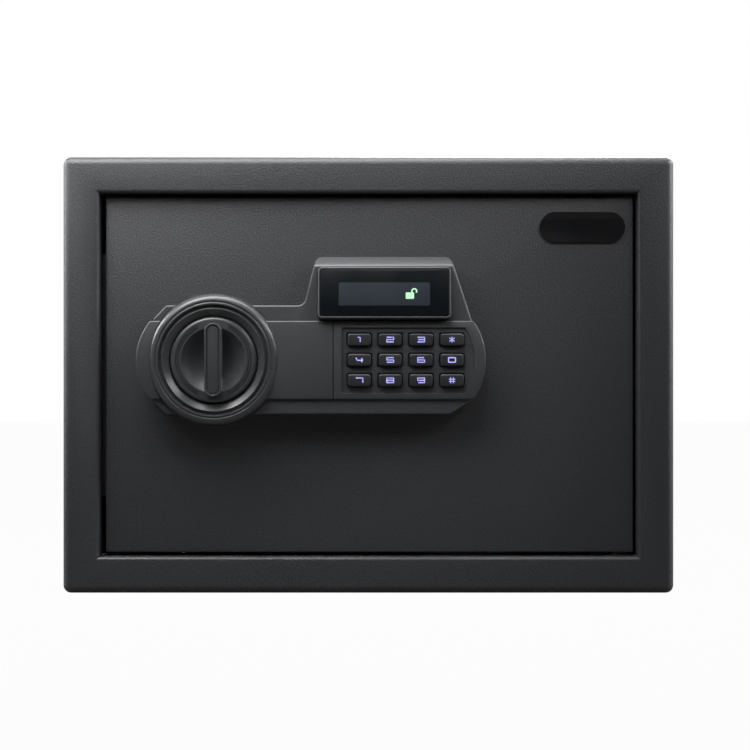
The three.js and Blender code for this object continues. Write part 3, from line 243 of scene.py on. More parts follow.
def newest(name):
    # What the last operator made
    piece = bpy.context.object
    piece.name = name
    return piece


def plate(name, corners, low, high, inset=0, steps=8):
    # A flat piece of that outline, lying on its back between two heights
    points = roundedOutline(corners, inset, steps)
    bpy.ops.mesh.primitive_circle_add(vertices=len(points), radius=1, fill_type='NGON')
    piece = newest(name)
    for vertex, point in zip(piece.data.vertices, points):
        vertex.co = (point.x, point.y, low)
    editAll()
    bpy.ops.mesh.extrude_region_move(TRANSFORM_OT_translate={"value": (0, 0, high - low)})
    turnOutwards()
    return piece


def turned(name, profile, sides):
    # profile holds (radius, height) from the axis round to it again, or round a ring's section
    bpy.ops.mesh.primitive_circle_add(vertices=len(profile), radius=1, fill_type='NOTHING')
    piece = newest(name)
    for vertex, (radius, height) in zip(piece.data.vertices, profile):
        vertex.co = (radius, 0, height)
    editAll()
    bpy.ops.mesh.spin(steps=sides, angle=math.tau, center=(0, 0, 0), axis=(0, 0, 1))
    bpy.ops.mesh.select_all(action='SELECT')
    bpy.ops.mesh.remove_doubles(threshold=0.002)
    bpy.ops.mesh.dissolve_degenerate(threshold=0.001)
    bpy.ops.mesh.delete_loose()
    turnOutwards()
    return piece


def block(name, low, high):
    bpy.ops.mesh.primitive_cube_add(size=1, location=[(a + b) / 2 for a, b in zip(low, high)])
    piece = newest(name)
    piece.scale = [b - a for a, b in zip(low, high)]
    applyPlace()
    return piece


def rod(radius, low, high, x=0, y=0, sides=96):
    bpy.ops.mesh.primitive_cylinder_add(vertices=sides, radius=radius, depth=high - low,
                                        location=(x, y, (low + high) / 2))
    applyPlace()
    return bpy.context.object


def copyOf(piece, name):
    twin = piece.copy()
    twin.data = piece.data.copy()
    twin.name = name
    scene.collection.objects.link(twin)
    return twin


def setDown(piece, place=(0, 0, 0), turn=(0, 0, 0), smooth=32):
    # Millimetres to metres; the place and the turn go into the mesh
    selectOnly(piece)
    piece.rotation_euler = turn
    piece.scale = (0.001, 0.001, 0.001)
    piece.location = [value / 1000 for value in place]
    applyPlace()
    if smooth:
        bpy.ops.object.shade_smooth_by_angle(angle=math.radians(smooth))


def paint(piece, material):
    piece.data.materials.clear()
    piece.data.materials.append(material)


def finish(piece, material, body, node=None):
    # Its finish, the body it rides on and the node or nodes it stands for
    if material:
        paint(piece, finishes[material])
    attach(piece, body)
    if node:
        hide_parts(*([node] if isinstance(node, str) else node))


# Shader nodes

def feed(tree, value, socket):
    # A number or a colour is set on the socket, and anything else is linked to it
    if isinstance(value, (int, float, tuple)):
        socket.default_value = value
    else:
        tree.links.new(value, socket)


def setInputs(tree, node, **values):
    # Spaces in the names of sockets are written as _
    for label, value in values.items():
        feed(tree, value, node.inputs[label.replace('_', ' ')])


def addNode(tree, kind, **values):
    node = tree.nodes.new('ShaderNode' + kind)
    setInputs(tree, node, **values)
    return node


def objectPlace(tree):
    return addNode(tree, 'TexCoord').outputs['Object']


def noiseNode(tree, vector, scale, detail, roughness):
    return addNode(tree, 'TexNoise', Vector=vector, Scale=scale, Detail=detail,
                   Roughness=roughness).outputs['Fac']


def vectorNode(tree, operation, *values, kind='VectorMath'):
    node = addNode(tree, kind)
    node.operation = operation
    for socket, value in zip(node.inputs, values):
        feed(tree, value, socket)
    return node.outputs


def mathNode(tree, operation, *values):
    return vectorNode(tree, operation, *values, kind='Math')[0]


def remap(tree, value, fromLow, fromHigh, toLow=0.0, toHigh=1.0, smooth=False):
    node = addNode(tree, 'MapRange', Value=value, From_Min=fromLow, From_Max=fromHigh,
                   To_Min=toLow, To_Max=toHigh)
    node.interpolation_type = 'SMOOTHSTEP' if smooth else 'LINEAR'
    return node.outputs['Result']


def mixColour(tree, factor, first, second):
    node = addNode(tree, 'Mix')
    node.data_type = 'RGBA'
    feed(tree, factor, node.inputs['Factor'])
    for label, value in (('A', first), ('B', second)):
        feed(tree, value, [s for s in node.inputs if s.name == label and s.type == 'RGBA'][0])
    return [s for s in node.outputs if s.type == 'RGBA'][0]


def srgb(colour):
    def linear(value):
        value /= 255
        return value / 12.92 if value <= 0.04045 else ((value + 0.055) / 1.055) ** 2.4
    return (*[linear(value) for value in colour], 1)


def newGroup(name, inputs, outputs):
    tree = bpy.data.node_groups.new(name, 'ShaderNodeTree')
    for label, value in inputs.items():
        socket = tree.interface.new_socket(label, in_out='INPUT', socket_type='NodeSocketFloat')
        socket.default_value = value
    for label in outputs:
        tree.interface.new_socket(label, in_out='OUTPUT', socket_type='NodeSocketFloat')
    return tree, tree.nodes.new('NodeGroupInput').outputs, tree.nodes.new('NodeGroupOutput')


def useGroup(tree, group, **values):
    node = tree.nodes.new('ShaderNodeGroup')
    node.node_tree = group
    setInputs(tree, node, **values)
    return node


def newMaterial(name):
    material = bpy.data.materials.new(name)
    material.use_nodes = True
    tree = material.node_tree
    return material, tree, tree.nodes['Principled BSDF']


# Fine grain of a coating or a moulding: a height for bumps and a speckle for its colour
grainLook = dict(  # each noise: detail and roughness
    coarseShare=0.65, fineShare=0.35, finer=2.7, coarseNoise=(2, 0.55), fineNoise=(2, 0.5),
    speckle=(0.36, 0.64))
grainGroup, ends, results = newGroup('fineGrain', {'Scale': 900.0, 'Stretch': 1.0},
                                     ('Height', 'Speckle'))
stretch = addNode(grainGroup, 'CombineXYZ', X=ends['Stretch'], Y=1, Z=1)
scaled = vectorNode(grainGroup, 'MULTIPLY', objectPlace(grainGroup), stretch.outputs[0])[0]
finer = mathNode(grainGroup, 'MULTIPLY', ends['Scale'], grainLook['finer'])
coarse = noiseNode(grainGroup, scaled, ends['Scale'], *grainLook['coarseNoise'])
fine = noiseNode(grainGroup, scaled, finer, *grainLook['fineNoise'])
height = mathNode(grainGroup, 'ADD',
                  mathNode(grainGroup, 'MULTIPLY', coarse, grainLook['coarseShare']),
                  mathNode(grainGroup, 'MULTIPLY', fine, grainLook['fineShare']))
setInputs(grainGroup, results, Height=height,
          Speckle=remap(grainGroup, height, *grainLook['speckle']))

# Large soft patches: slow changes of sheen and shade over a surface
patchLook = dict(noise=(3, 0.5), span=(0.35, 0.65))
patchGroup, ends, results = newGroup('softPatches', {'Scale': 12.0}, ('Patch',))
patch = noiseNode(patchGroup, objectPlace(patchGroup), ends['Scale'], *patchLook['noise'])
setInputs(patchGroup, results,
          Patch=remap(patchGroup, patch, *patchLook['span'], smooth=True))

# Lighter edges where the rounded normal leaves the face's own: rubbed wear on the metals, a
# painted highlight along the plastics' rounded edges
wearHighlightLook = dict(samples=4, bend=(0.985, 0.9), noise=(3, 0.6), broken=(0.35, 0.6))
wearHighlightGroup, ends, results = newGroup('edgeWearAndPaintedHighlight', {'Width': 0.0006, 'Scale': 300.0}, ('Mask',))
rounded = addNode(wearHighlightGroup, 'Bevel', Radius=ends['Width'])
rounded.samples = wearHighlightLook['samples']
own = addNode(wearHighlightGroup, 'NewGeometry')
dot = vectorNode(wearHighlightGroup, 'DOT_PRODUCT', rounded.outputs[0], own.outputs['Normal'])['Value']
breakUp = noiseNode(wearHighlightGroup, objectPlace(wearHighlightGroup), ends['Scale'], *wearHighlightLook['noise'])
mask = mathNode(wearHighlightGroup, 'MULTIPLY', remap(wearHighlightGroup, dot, *wearHighlightLook['bend']),
                remap(wearHighlightGroup, breakUp, *wearHighlightLook['broken']))
setInputs(wearHighlightGroup, results, Mask=mask)


def surface(name, dark, light, roughness, grainScale, bump, relief, patchScale, spread=0.06,
            stretch=1.0, patchColour=None, patchAmount=0.3, edgeColour=None, edgeAmount=0.3,
            edgeWidth=0.5, metallic=0.0, specular=0.5, coat=0.0, coatRoughness=0.05, sheen=0.0):
    # Two shades mixed by grain and patches, a spread of roughness, bumps, and lighter edges that
    # are rubbed wear on metals and a painted highlight on plastics
    material, tree, shader = newMaterial(name)
    grain = useGroup(tree, grainGroup, Scale=grainScale, Stretch=stretch)
    patch = useGroup(tree, patchGroup, Scale=patchScale).outputs['Patch']
    colour = mixColour(tree, grain.outputs['Speckle'], srgb(dark), srgb(light))
    if patchColour:
        amount = mathNode(tree, 'MULTIPLY', patch, patchAmount)
        colour = mixColour(tree, amount, colour, srgb(patchColour))
    # lighter edges: rubbed wear on metal finishes, a painted highlight on plastic ones
    if edgeColour:
        lighterEdge = useGroup(tree, wearHighlightGroup, Width=edgeWidth / 1000)
        amount = mathNode(tree, 'MULTIPLY', lighterEdge.outputs['Mask'], edgeAmount)
        colour = mixColour(tree, amount, colour, srgb(edgeColour))
    change = mathNode(tree, 'MULTIPLY', mathNode(tree, 'SUBTRACT', patch, 0.5), spread)
    bumps = addNode(tree, 'Bump', Strength=bump, Distance=relief / 1000,
                    Height=grain.outputs['Height'])
    setInputs(tree, shader, Base_Color=colour, Normal=bumps.outputs['Normal'],
              Roughness=mathNode(tree, 'ADD', roughness, change), Metallic=metallic,
              Specular_IOR_Level=specular, Coat_Weight=coat, Coat_Roughness=coatRoughness,
              Sheen_Weight=sheen)
    return material


def glow(name, colour, edgeColour, strength, patchScale=420.0, patchAmount=0.5, roughness=0.4,
         unlit=(0.02, 0.02, 0.03, 1)):
    # Lit from behind: brighter patches where the lamp sits under the legend
    material, tree, shader = newMaterial(name)
    patch = useGroup(tree, patchGroup, Scale=patchScale).outputs['Patch']
    amount = mathNode(tree, 'MULTIPLY', patch, patchAmount)
    setInputs(tree, shader, Base_Color=unlit, Roughness=roughness, Emission_Strength=strength,
              Emission_Color=mixColour(tree, amount, srgb(colour), srgb(edgeColour)))
    return material


finishLooks = dict(  # colours as seen; relief and edgeWidth in millimetres
    powderCoat=dict(
        dark=(38, 39, 41), light=(60, 61, 64), roughness=0.4, grainScale=1000, bump=1.0,
        relief=0.34, patchScale=7, patchColour=(45, 46, 48)),
    coatPaintedShade=dict(  # the same coat painted far darker: painted shade for the stop strip deep in the door gap
        dark=(12, 12, 13), light=(20, 20, 21), roughness=0.5, grainScale=1000, bump=1.0,
        relief=0.34, patchScale=7),
    # on the three plastics the edgeColour is a painted highlight along their rounded edges
    mouldedPlastic=dict(
        dark=(53, 54, 56), light=(64, 65, 67), roughness=0.34, spread=0.05, grainScale=1500,
        bump=0.5, relief=0.14, patchScale=16, edgeColour=(66, 67, 69)),
    ringPlastic=dict(
        dark=(54, 55, 57), light=(60, 61, 63), roughness=0.26, spread=0.05, grainScale=2000,
        bump=0.22, relief=0.08, patchScale=20, edgeColour=(66, 67, 69), edgeWidth=0.4),
    keyPlastic=dict(
        dark=(30, 31, 35), light=(35, 36, 40), roughness=0.42, spread=0.05, grainScale=2600,
        bump=0.15, relief=0.05, patchScale=60, edgeColour=(60, 61, 64), edgeWidth=0.3),
    blackGloss=dict(
        dark=(9, 10, 12), light=(12, 13, 15), roughness=0.22, spread=0.05, grainScale=600,
        bump=0.03, relief=0.03, patchScale=30, coat=0.6),
    steelTurned=dict(
        dark=(142, 144, 147), light=(186, 188, 190), roughness=0.32, spread=0.12, metallic=1.0,
        grainScale=1500, stretch=8, bump=0.2, relief=0.03, patchScale=60,
        edgeColour=(214, 215, 217), edgeAmount=0.4, edgeWidth=0.4),
    zincPlate=dict(
        dark=(150, 148, 138), light=(188, 184, 170), roughness=0.38, spread=0.14, metallic=1.0,
        grainScale=700, bump=0.15, relief=0.04, patchScale=45, patchColour=(168, 158, 120),
        patchAmount=0.5, edgeColour=(214, 212, 204), edgeAmount=0.4),
    brassTurned=dict(
        dark=(150, 118, 58), light=(192, 158, 86), roughness=0.3, spread=0.12, metallic=1.0,
        grainScale=1800, bump=0.12, relief=0.03, patchScale=70, edgeColour=(222, 196, 130),
        edgeAmount=0.5, edgeWidth=0.3),
    blackSteel=dict(
        dark=(34, 35, 38), light=(50, 51, 54), roughness=0.4, spread=0.1, metallic=1.0,
        grainScale=1600, bump=0.15, relief=0.03, patchScale=70, edgeColour=(120, 121, 124),
        edgeWidth=0.3),
    nylonBlack=dict(
        dark=(24, 24, 26), light=(32, 32, 34), roughness=0.5, grainScale=1800, bump=0.1,
        relief=0.04, patchScale=80),
    circuitGreen=dict(
        dark=(22, 70, 42), light=(34, 96, 58), roughness=0.35, spread=0.1, grainScale=420,
        bump=0.3, relief=0.06, patchScale=120, patchColour=(70, 104, 60), patchAmount=0.4),
    feltGrey=dict(
        dark=(26, 26, 28), light=(62, 62, 66), roughness=0.95, spread=0.04, grainScale=1600,
        bump=1.0, relief=0.6, patchScale=26, patchColour=(48, 48, 51), patchAmount=0.6, sheen=0.4,
        specular=0.2),
    cellSleeve=dict(
        dark=(128, 40, 30), light=(148, 52, 38), roughness=0.28, spread=0.08, grainScale=260,
        bump=0.05, relief=0.04, patchScale=90, coat=0.5),
    redPlastic=dict(
        dark=(168, 24, 20), light=(188, 36, 30), roughness=0.4, grainScale=2000, bump=0.1,
        relief=0.04, patchScale=90))
glowLooks = dict(
    legendCore=dict(colour=(206, 206, 255), edgeColour=(150, 150, 250), strength=1.0),
    legendHalo=dict(colour=(78, 78, 200), edgeColour=(44, 44, 150), strength=0.8),
    iconCore=dict(colour=(206, 255, 214), edgeColour=(170, 246, 184), strength=1.0))
finishes = {name: surface(name, **look) for name, look in finishLooks.items()}
finishes.update({name: glow(name, **look) for name, look in glowLooks.items()})
print("finishes ready")


# Body: the shell and the front frame, with the jamb turned back into the opening

bodyLook = dict(
    width=350, height=250, depth=250, sheet=2, border=21, jamb=24, outerRadius=4.5, jambRadius=2.6,
    anchorRadius=5, anchorReach=75, bushRadius=5.2, cut=4)


def makeBody():
    look = bodyLook
    half, front, back = look['width'] / 2, -look['depth'] / 2, look['depth'] / 2
    body = block('bodyWrapper', (-half, front, 0), (half, back, look['height']))
    pick(body, faces=lambda face: face.normal.y < -0.9)
    bpy.ops.mesh.inset(thickness=look['border'])
    bpy.ops.mesh.extrude_region_move(TRANSFORM_OT_translate={"value": (0, look['jamb'], 0)})
    bpy.ops.mesh.delete(type='FACE')
    doneEditing()
    pick(body, faces=lambda face: face.normal.y > 0.9)
    bpy.ops.mesh.delete(type='FACE')
    doneEditing()

    def atFront(point):
        return abs(point.y - front) < touch

    def atCorner(point):
        atEnd = point.z < touch or point.z > look['height'] - touch
        return atEnd and abs(abs(point.x) - half) < touch

    def atOpening(point):
        inset = look['border'] - touch
        return abs(point.x) < half - inset and inset < point.z < look['height'] - inset

    def outerEdge(a, b):
        return atCorner(a) and atCorner(b) and (abs(a.y - b.y) > 1 or atFront(a))

    def jambEdge(a, b):
        return all(atFront(point) and atOpening(point) for point in (a, b))

    roundEdges(body, look['outerRadius'], 8, edges=outerEdge)
    roundEdges(body, look['jambRadius'], 6, edges=jambEdge)
    modify(body, 'SOLIDIFY', thickness=look['sheet'], offset=-1, use_even_offset=True)
    hinge, cut = boxOf('hinge_bush_bottom')[2], look['cut']
    for sill in (look['border'], look['height'] - look['border']):
        cutAway(body, rod(look['bushRadius'], sill - cut, sill + cut, hinge.x, hinge.y, 48))
    for side in (-1, 1):
        cutAway(body, rod(look['anchorRadius'], -cut, cut, side * look['anchorReach'], 0, 48))
    setDown(body, smooth=30)
    finish(body, 'powderCoat', 'safe_body', ['body_shell', 'front_frame'])


makeBody()
print("body made")


# Door plate and badge

doorLook = dict(  # holes: radius, place from the knob, sides
    radius=1.2, edge=0.7,
    holes=dict(spindle=(6.8, 0, 0, 48), lock=(8.6, 52.7, 0, 48), cable=(4, 134.7, -25, 32)))


def makeDoorPlate():
    look = doorLook
    thick = plateHigh.y - plateLow.y
    outline = rectangle(plateLow.x, plateLow.z, plateHigh.x, plateHigh.z, look['radius'])
    door = plate('doorPlate', outline, 0, thick)
    roundEdges(door, look['edge'], 3, lambda face: abs(face.normal.z) > 0.9)
    for radius, x, z, sides in look['holes'].values():
        cutAway(door, rod(radius, -2, thick * 2, knobPlace[0] + x, knobPlace[2] + z, sides))
    setDown(door, (0, plateHigh.y, 0), toFront)
    finish(door, 'powderCoat', 'door', 'door_plate')


badgeLook = dict(border=0.5, sink=0.12, edge=0.25)


def makeBadge():
    look = badgeLook
    low, high = boxOf('badge_plate')[:2]
    outline = rectangle(low.x, low.z, high.x, high.z, (high.z - low.z) / 2 - pillSlack)
    pill = plate('badgePill', outline, 0, high.y - low.y, steps=20)
    pick(pill, faces=upward)
    bpy.ops.mesh.inset(thickness=look['border'])
    bpy.ops.transform.translate(value=(0, 0, -look['sink']))
    doneEditing()
    soften(pill, look['edge'], 3, 40)
    setDown(pill, (0, high.y, 0), toFront)
    finish(pill, 'blackGloss', 'door', 'badge_plate')


makeDoorPlate()
makeBadge()
print("door plate and badge made")


# Console: housing, key cover and keypad surround, in places from the knob's middle

consoleLook = dict(
    seat=0.3, wall=2, baseRise=15, baseEdge=1.5, bandRise=18.5, bandHalf=22.15, bandSeat=0.3,
    bandWall=2.7, edge=0.7, crown=1.9, crownRows=7, left=-36.1, leftBulge=7.8, right=147.4,
    rightBulge=6.9, seam=67.8, seamGap=0.5, ringRadius=37.6, ringSeat=11, ringWall=2.3,
    ringGap=0.3, well=25.6, lockX=52.7, lockRoom=9.9, lockFoot=10, keyWindow=(70, -18, 145, 18),
    windowFoot=11, browFoot=53.6, browTop=59, browDrop=7, podLeft=59.1, podRight=134.6,
    podBottom=23.4, podTop=53, podRise=18.5, podLean=9.5, podDepth=6.5, podRadius=2.6, podGap=0.3)
baseCorners = [
    (-27.1, -30.8, 2), (134.6, -30.8, 2), (147.6, -22.15, 1), (147.6, 19.15, 1), (134.6, 59, 4.5),
    (58, 59, 4.5), (51.1, 31.1, 4.5), (-27.1, 31.1, 2), (-34.3, 23.6, 1), (-34.3, -23.6, 1)]


def bandCorners():
    look = consoleLook
    half, left, right = look['bandHalf'], look['left'], look['right']
    return [(left, -half, 1.5), (right, -half, 2), *bulge(right, -half, half, look['rightBulge']),
            (right, half, 2), (left, half, 1.5), *bulge(left, half, -half, look['leftBulge'])]


def band(name, low):
    # The raised band's outline with its rim rounded
    piece = plate(name, bandCorners(), low, consoleLook['bandRise'])
    roundEdges(piece, consoleLook['edge'], 4, upward)
    return piece


def bandPiece(name, left=None, right=None):
    # A stretch of the raised band between two uprights
    look = consoleLook
    piece = band(name, look['baseRise'] + look['bandSeat'])
    if left is not None:
        cutAway(piece, block('leftOff', (-far, -far, 0), (left, far, far)))
    if right is not None:
        cutAway(piece, block('rightOff', (right, -far, 0), (far, far, far)))
    return piece


def crownFace(piece):
    # Lets the band's face fall away from its middle line, between rows of cuts that let it bend
    look = consoleLook
    for k in range(1 - look['crownRows'], look['crownRows']):
        pick(piece, faces=everyFace)
        bpy.ops.mesh.bisect(plane_co=(0, k * look['bandHalf'] / look['crownRows'], 0),
                            plane_no=(0, 1, 0))
        doneEditing()
    foot = look['baseRise'] + look['bandSeat']
    for vertex in piece.data.vertices:
        share = min((vertex.co.z - foot) / (look['bandRise'] - foot), 1)
        if share > 0:
            vertex.co.z -= look['crown'] * share * (vertex.co.y / look['bandHalf']) ** 2


def podBlock(name, inset, low, high):
    # The display pod's outline
    look = consoleLook
    halfX = (look['podRight'] - look['podLeft']) / 2
    halfY = (look['podTop'] - look['podBottom']) / 2
    return plate(name, centred(halfX, halfY, look['podRadius']), low, high, inset, 10)


def podMiddle():
    look = consoleLook
    return ((look['podLeft'] + look['podRight']) / 2, (look['podBottom'] + look['podTop']) / 2,
            look['podRise'])


def leanPod(piece):
    # Leans it back on the hump
    selectOnly(piece)
    piece.rotation_euler = (-math.radians(consoleLook['podLean']), 0, 0)
    piece.location = podMiddle()
    applyPlace()
    return piece


def cutBrow(piece, lower=0.0):
    look = consoleLook
    slope = math.atan2(look['browDrop'], look['browTop'] - look['browFoot'])
    pick(piece, faces=everyFace)
    bpy.ops.mesh.bisect(
        plane_co=(0, look['browFoot'] - lower / math.sin(slope), look['baseRise']),
        plane_no=(0, math.sin(slope), math.cos(slope)), use_fill=True, clear_outer=True)
    doneEditing()


ringLook = dict(  # the lists hold offsets from the edge that each one rounds
    radius=37.6, foot=11.3, shoulderRise=14, top=19.5, shoulder=4.1, fineGroove=1.1,
    fineDepth=0.45, bead=1.1, groove=2.0, grooveDepth=1.8, lip=0.45, lipDrop=0.4, inner=25.1,
    funnel=3.0, beadOuter=[(0, -0.08), (-0.15, 0)], beadInner=[(0.3, 0), (0.08, -0.1), (0, -0.3)],
    floorEdge=[(-0.15, 0.2), (-0.35, 0), (-0.75, 0), (-1.0, 0.15)],
    lipOuter=[(0, -0.35), (-0.1, -0.1), (-0.3, 0)], lipInner=[(0.1, 0), (-0.1, -0.15)],
    funnelEdge=[(0.6, 0.3), (0.2, 0), (0, -0.3)])


def ringShoulder(gap=0, count=None):
    look = ringLook
    return quarter(look['radius'] + gap, look['shoulderRise'], look['shoulder'],
                   look['top'] - look['shoulderRise'], 12, count)


def ringRoom(gap):
    # The room that the ring takes in the console, round its foot and along its shoulder
    seat, top = consoleLook['ringSeat'], 30
    bend = ringShoulder(gap, 9)
    return turned('ringRoom', [(0, seat), (ringLook['radius'] + gap, seat), *bend,
                               (bend[-1][0], top), (0, top)], 160)


def makeHousing():
    look = consoleLook
    wall, ring, roof = look['wall'], look['ringRadius'], look['baseRise'] - look['wall']
    base = plate('keypadHousing', baseCorners, look['seat'], look['baseRise'])
    cutBrow(base)
    soften(base, look['baseEdge'], 5, 30)
    bandFoot = plate('bandFoot', bandCorners(), look['seat'], look['baseRise'] - 0.05)
    wing = band('wing', look['seat'])
    cutAway(wing, block('right', (0, -60, -5), (far, 60, 40)))
    crownFace(wing)
    addOn(base, bandFoot, wing, rod(ring, look['seat'], look['ringSeat'], sides=160))
    inner = plate('inner', baseCorners, -3, roof, wall)
    cutBrow(inner, wall)
    addOn(inner, plate('innerBand', bandCorners(), -4, roof, look['bandWall']))
    cutAway(inner, rod(ring + look['ringWall'], -8, 30, sides=160))
    left, bottom, right, top = look['keyWindow']
    pocket = podBlock('pocket', -look['podGap'], -look['podDepth'] * 1.5, look['podDepth'])
    cutAway(base, inner,
            rod(ring - wall, -5, look['ringSeat'] - wall, sides=160),
            ringRoom(look['ringGap']),
            rod(look['well'], -5, 30, sides=128),
            rod(look['lockRoom'], look['lockFoot'], 30, look['lockX']),
            block('keyWindow', (left, bottom, look['windowFoot']), (right, top, 30)),
            leanPod(pocket))
    setDown(base, knobPlace, toFront, smooth=30)
    finish(base, 'mouldedPlastic', 'door', 'keypad_housing')


coverLook = dict(ringGap=0.4, face=1.6, ringWall=2.2, edge=0.22, foot=10)


def makeKeyCover():
    look, console = coverLook, consoleLook
    half, seam = console['bandHalf'], console['seam']
    cover = bandPiece('keyCover', 0, seam - console['seamGap'] / 2)
    cutAway(cover, ringRoom(look['ringGap']))
    hollow = plate('hollow', rectangle(0, -half, seam, half), look['foot'],
                   console['bandRise'] - look['face'], look['face'])
    cutAway(hollow, rod(console['ringRadius'] + look['ringWall'], 0, 40, sides=160))
    cutAway(cover, hollow)
    soften(cover, look['edge'], 2, 50)
    crownFace(cover)
    setDown(cover, knobPlace, toFront, smooth=30)
    finish(cover, 'mouldedPlastic', 'key_cover', 'key_cover')


keyLook = dict(
    columns=[82.65, 100.12, 117.59, 135.06], rows=[11.5, 0, -11.5], width=13.3, height=7,
    radius=1.6, foot=15.3, rise=19.2, bevel=0.95, flange=(13.8, 15.0), flangeReach=1.15, stem=2,
    stemFoot=10.9, digitSize=(4.5, 3.2), digitStroke=0.3, digitHalo=0.48, signSize=(4.3, 3.7),
    signStroke=0.22, signHalo=0.34, coreRise=0.06)


surroundLook = dict(
    keyGap=0.72, edge=0.34, recess=(72.4, -19.1, 142.8, 18.6), recessBulge=5.5, recessDepth=1.7,
    recessTaper=(0.992, 0.985, 1))


def makeSurround():
    look, console, keys = surroundLook, consoleLook, keyLook
    panel = bandPiece('keypadSurround', console['seam'] + console['seamGap'] / 2)
    left, bottom, right, top = look['recess']
    corners = [(left, bottom, 1.5), (right, bottom, 1),
               *bulge(right, bottom, top, look['recessBulge']), (right, top, 1), (left, top, 1.5)]
    pool = plate('pool', corners, console['bandRise'] - look['recessDepth'],
                 console['bandRise'] + 2)
    resizeFaces(pool, downward, look['recessTaper'])
    cutAway(panel, pool)
    halfX, halfY = keys['width'] / 2 + look['keyGap'], keys['height'] / 2 + look['keyGap']
    for y in keys['rows']:
        for x in keys['columns']:
            cutAway(panel, plate('hole', centred(halfX, halfY, keys['radius'], x, y), 10, 30))
    soften(panel, look['edge'], 3, 40)
    crownFace(panel)
    setDown(panel, knobPlace, toFront, smooth=30)
    finish(panel, 'mouldedPlastic', 'door', 'keypad_surround')


makeHousing()
makeKeyCover()
makeSurround()
print("console made")


# Keys with lit legends

legends = {  # strokes on a square from 0 to 1
    '1': [[(0.28, 1), (0.62, 0.95), (0.62, 0)]],
    '2': [[(0, 1), (1, 1), (1, 0.5), (0, 0.5), (0, 0), (1, 0)]],
    '3': [[(0, 1), (1, 1), (1, 0), (0, 0)], [(0.1, 0.5), (1, 0.5)]],
    '4': [[(0, 1), (0.2, 0.42), (1.05, 0.42)], [(0.86, 0.9), (0.86, 0)]],
    '5': [[(1, 1), (0, 1), (0, 0.5), (1, 0.5), (1, 0), (0, 0)]],
    '6': [[(0.9, 1), (0, 1), (0, 0), (1, 0), (1, 0.5), (0, 0.5)]],
    '7': [[(0, 1), (1, 1), (1, 0)]],
    '8': [[(0, 0), (1, 0), (1, 1), (0, 1), (0, 0)], [(0, 0.5), (1, 0.5)]],
    '9': [[(1, 0.5), (0, 0.5), (0, 1), (1, 1), (1, 0), (0.1, 0)]],
    '0': [[(0.05, 0), (0.95, 0), (1, 0.1), (1, 0.9), (0.95, 1), (0.05, 1), (0, 0.9), (0, 0.1),
           (0.05, 0)]],
    'star': [[(0.5, 1), (0.5, 0)], [(0.12, 0.8), (0.88, 0.2)], [(0.12, 0.2), (0.88, 0.8)]],
    'hash': [[(0.3, 1), (0.3, 0)], [(0.7, 1), (0.7, 0)], [(0.04, 0.68), (0.96, 0.68)],
             [(0.04, 0.32), (0.96, 0.32)]]}
keyOrder = [['1', '2', '3', 'star'], ['4', '5', '6', '0'], ['7', '8', '9', 'hash']]
strokeFlat = 0.16  # a stroke's height as a share of its width


def strokeMesh(name, lines, width, rise, material):
    # Flat rounded strokes along the lines, half sunk into what they lie on
    curve = bpy.data.curves.new(name, 'CURVE')
    curve.dimensions = '3D'
    curve.bevel_depth = width
    curve.bevel_resolution = 3
    curve.use_fill_caps = True
    for line in lines:
        spline = curve.splines.new('POLY')
        spline.points.add(len(line) - 1)
        for point, (x, y) in zip(spline.points, line):
            point.co = (x, y, 0, 1)
    piece = bpy.data.objects.new(name, curve)
    scene.collection.objects.link(piece)
    piece.scale = (1, 1, strokeFlat)
    piece.location = (0, 0, rise)
    selectOnly(piece)
    bpy.ops.object.convert(target='MESH')
    piece = bpy.context.object
    applyPlace()
    paint(piece, finishes[material])
    return piece


def makeKeyCap():
    look = keyLook
    outline = centred(look['width'] / 2, look['height'] / 2, look['radius'])
    cap = plate('keyCap', outline, look['foot'], look['rise'], steps=6)
    roundEdges(cap, look['bevel'], 5, upward)
    stem = look['stem']
    addOn(cap, plate('flange', outline, *look['flange'], -look['flangeReach']),
          block('stem', (-stem, -stem, look['stemFoot']), (stem, stem, look['foot'] + 0.1)))
    paint(cap, finishes['keyPlastic'])
    return cap


def makeKeys():
    look = keyLook
    cap = makeKeyCap()
    for y, names in zip(look['rows'], keyOrder):
        for x, name in zip(look['columns'], names):
            kind = 'sign' if name in ('star', 'hash') else 'digit'
            stroke, halo = look[kind + 'Stroke'], look[kind + 'Halo']
            wide, tall = [size - stroke * 2 for size in look[kind + 'Size']]
            lines = [[((px - 0.5) * wide, (py - 0.5) * tall) for px, py in line]
                     for line in legends[name]]
            key = copyOf(cap, 'key_' + name + '_cap')
            rise = look['rise']
            joinInto(key, strokeMesh('halo', lines, halo, rise, 'legendHalo'),
                     strokeMesh('core', lines, stroke, rise + look['coreRise'], 'legendCore'))
            setDown(key, (knobPlace[0] + x, knobPlace[1], knobPlace[2] + y), toFront, smooth=35)
            finish(key, None, 'key_' + name, 'key_' + name)
    bpy.data.objects.remove(cap)


makeKeys()
print("keys made")


# Display pod

displayLook = dict(
    lip=0.9, edge=0.6, innerEdge=0.2, slot=(27.3, 8.05), slotDepth=12, sink=0.5, glass=1.2,
    gap=0.3, glassEdge=0.25, window=(51.8, 13.3), windowRadius=0.9, windowPlace=(9.1, 170.9),
    windowFade=(0.1, -0.3), printBlack=(7, 11, 14), greys=((39, 43, 49), (41, 46, 52)),
    patchScale=60.0, roughness=(0.24, 0.27), specular=0.35, icon=(14.4, -1.7),
    iconSize=(4.7, 3.7), iconRadius=0.4, iconRise=0.05, shackle=(2.5, 0.75),
    shackleRadius=1.35, shackleStroke=0.4)


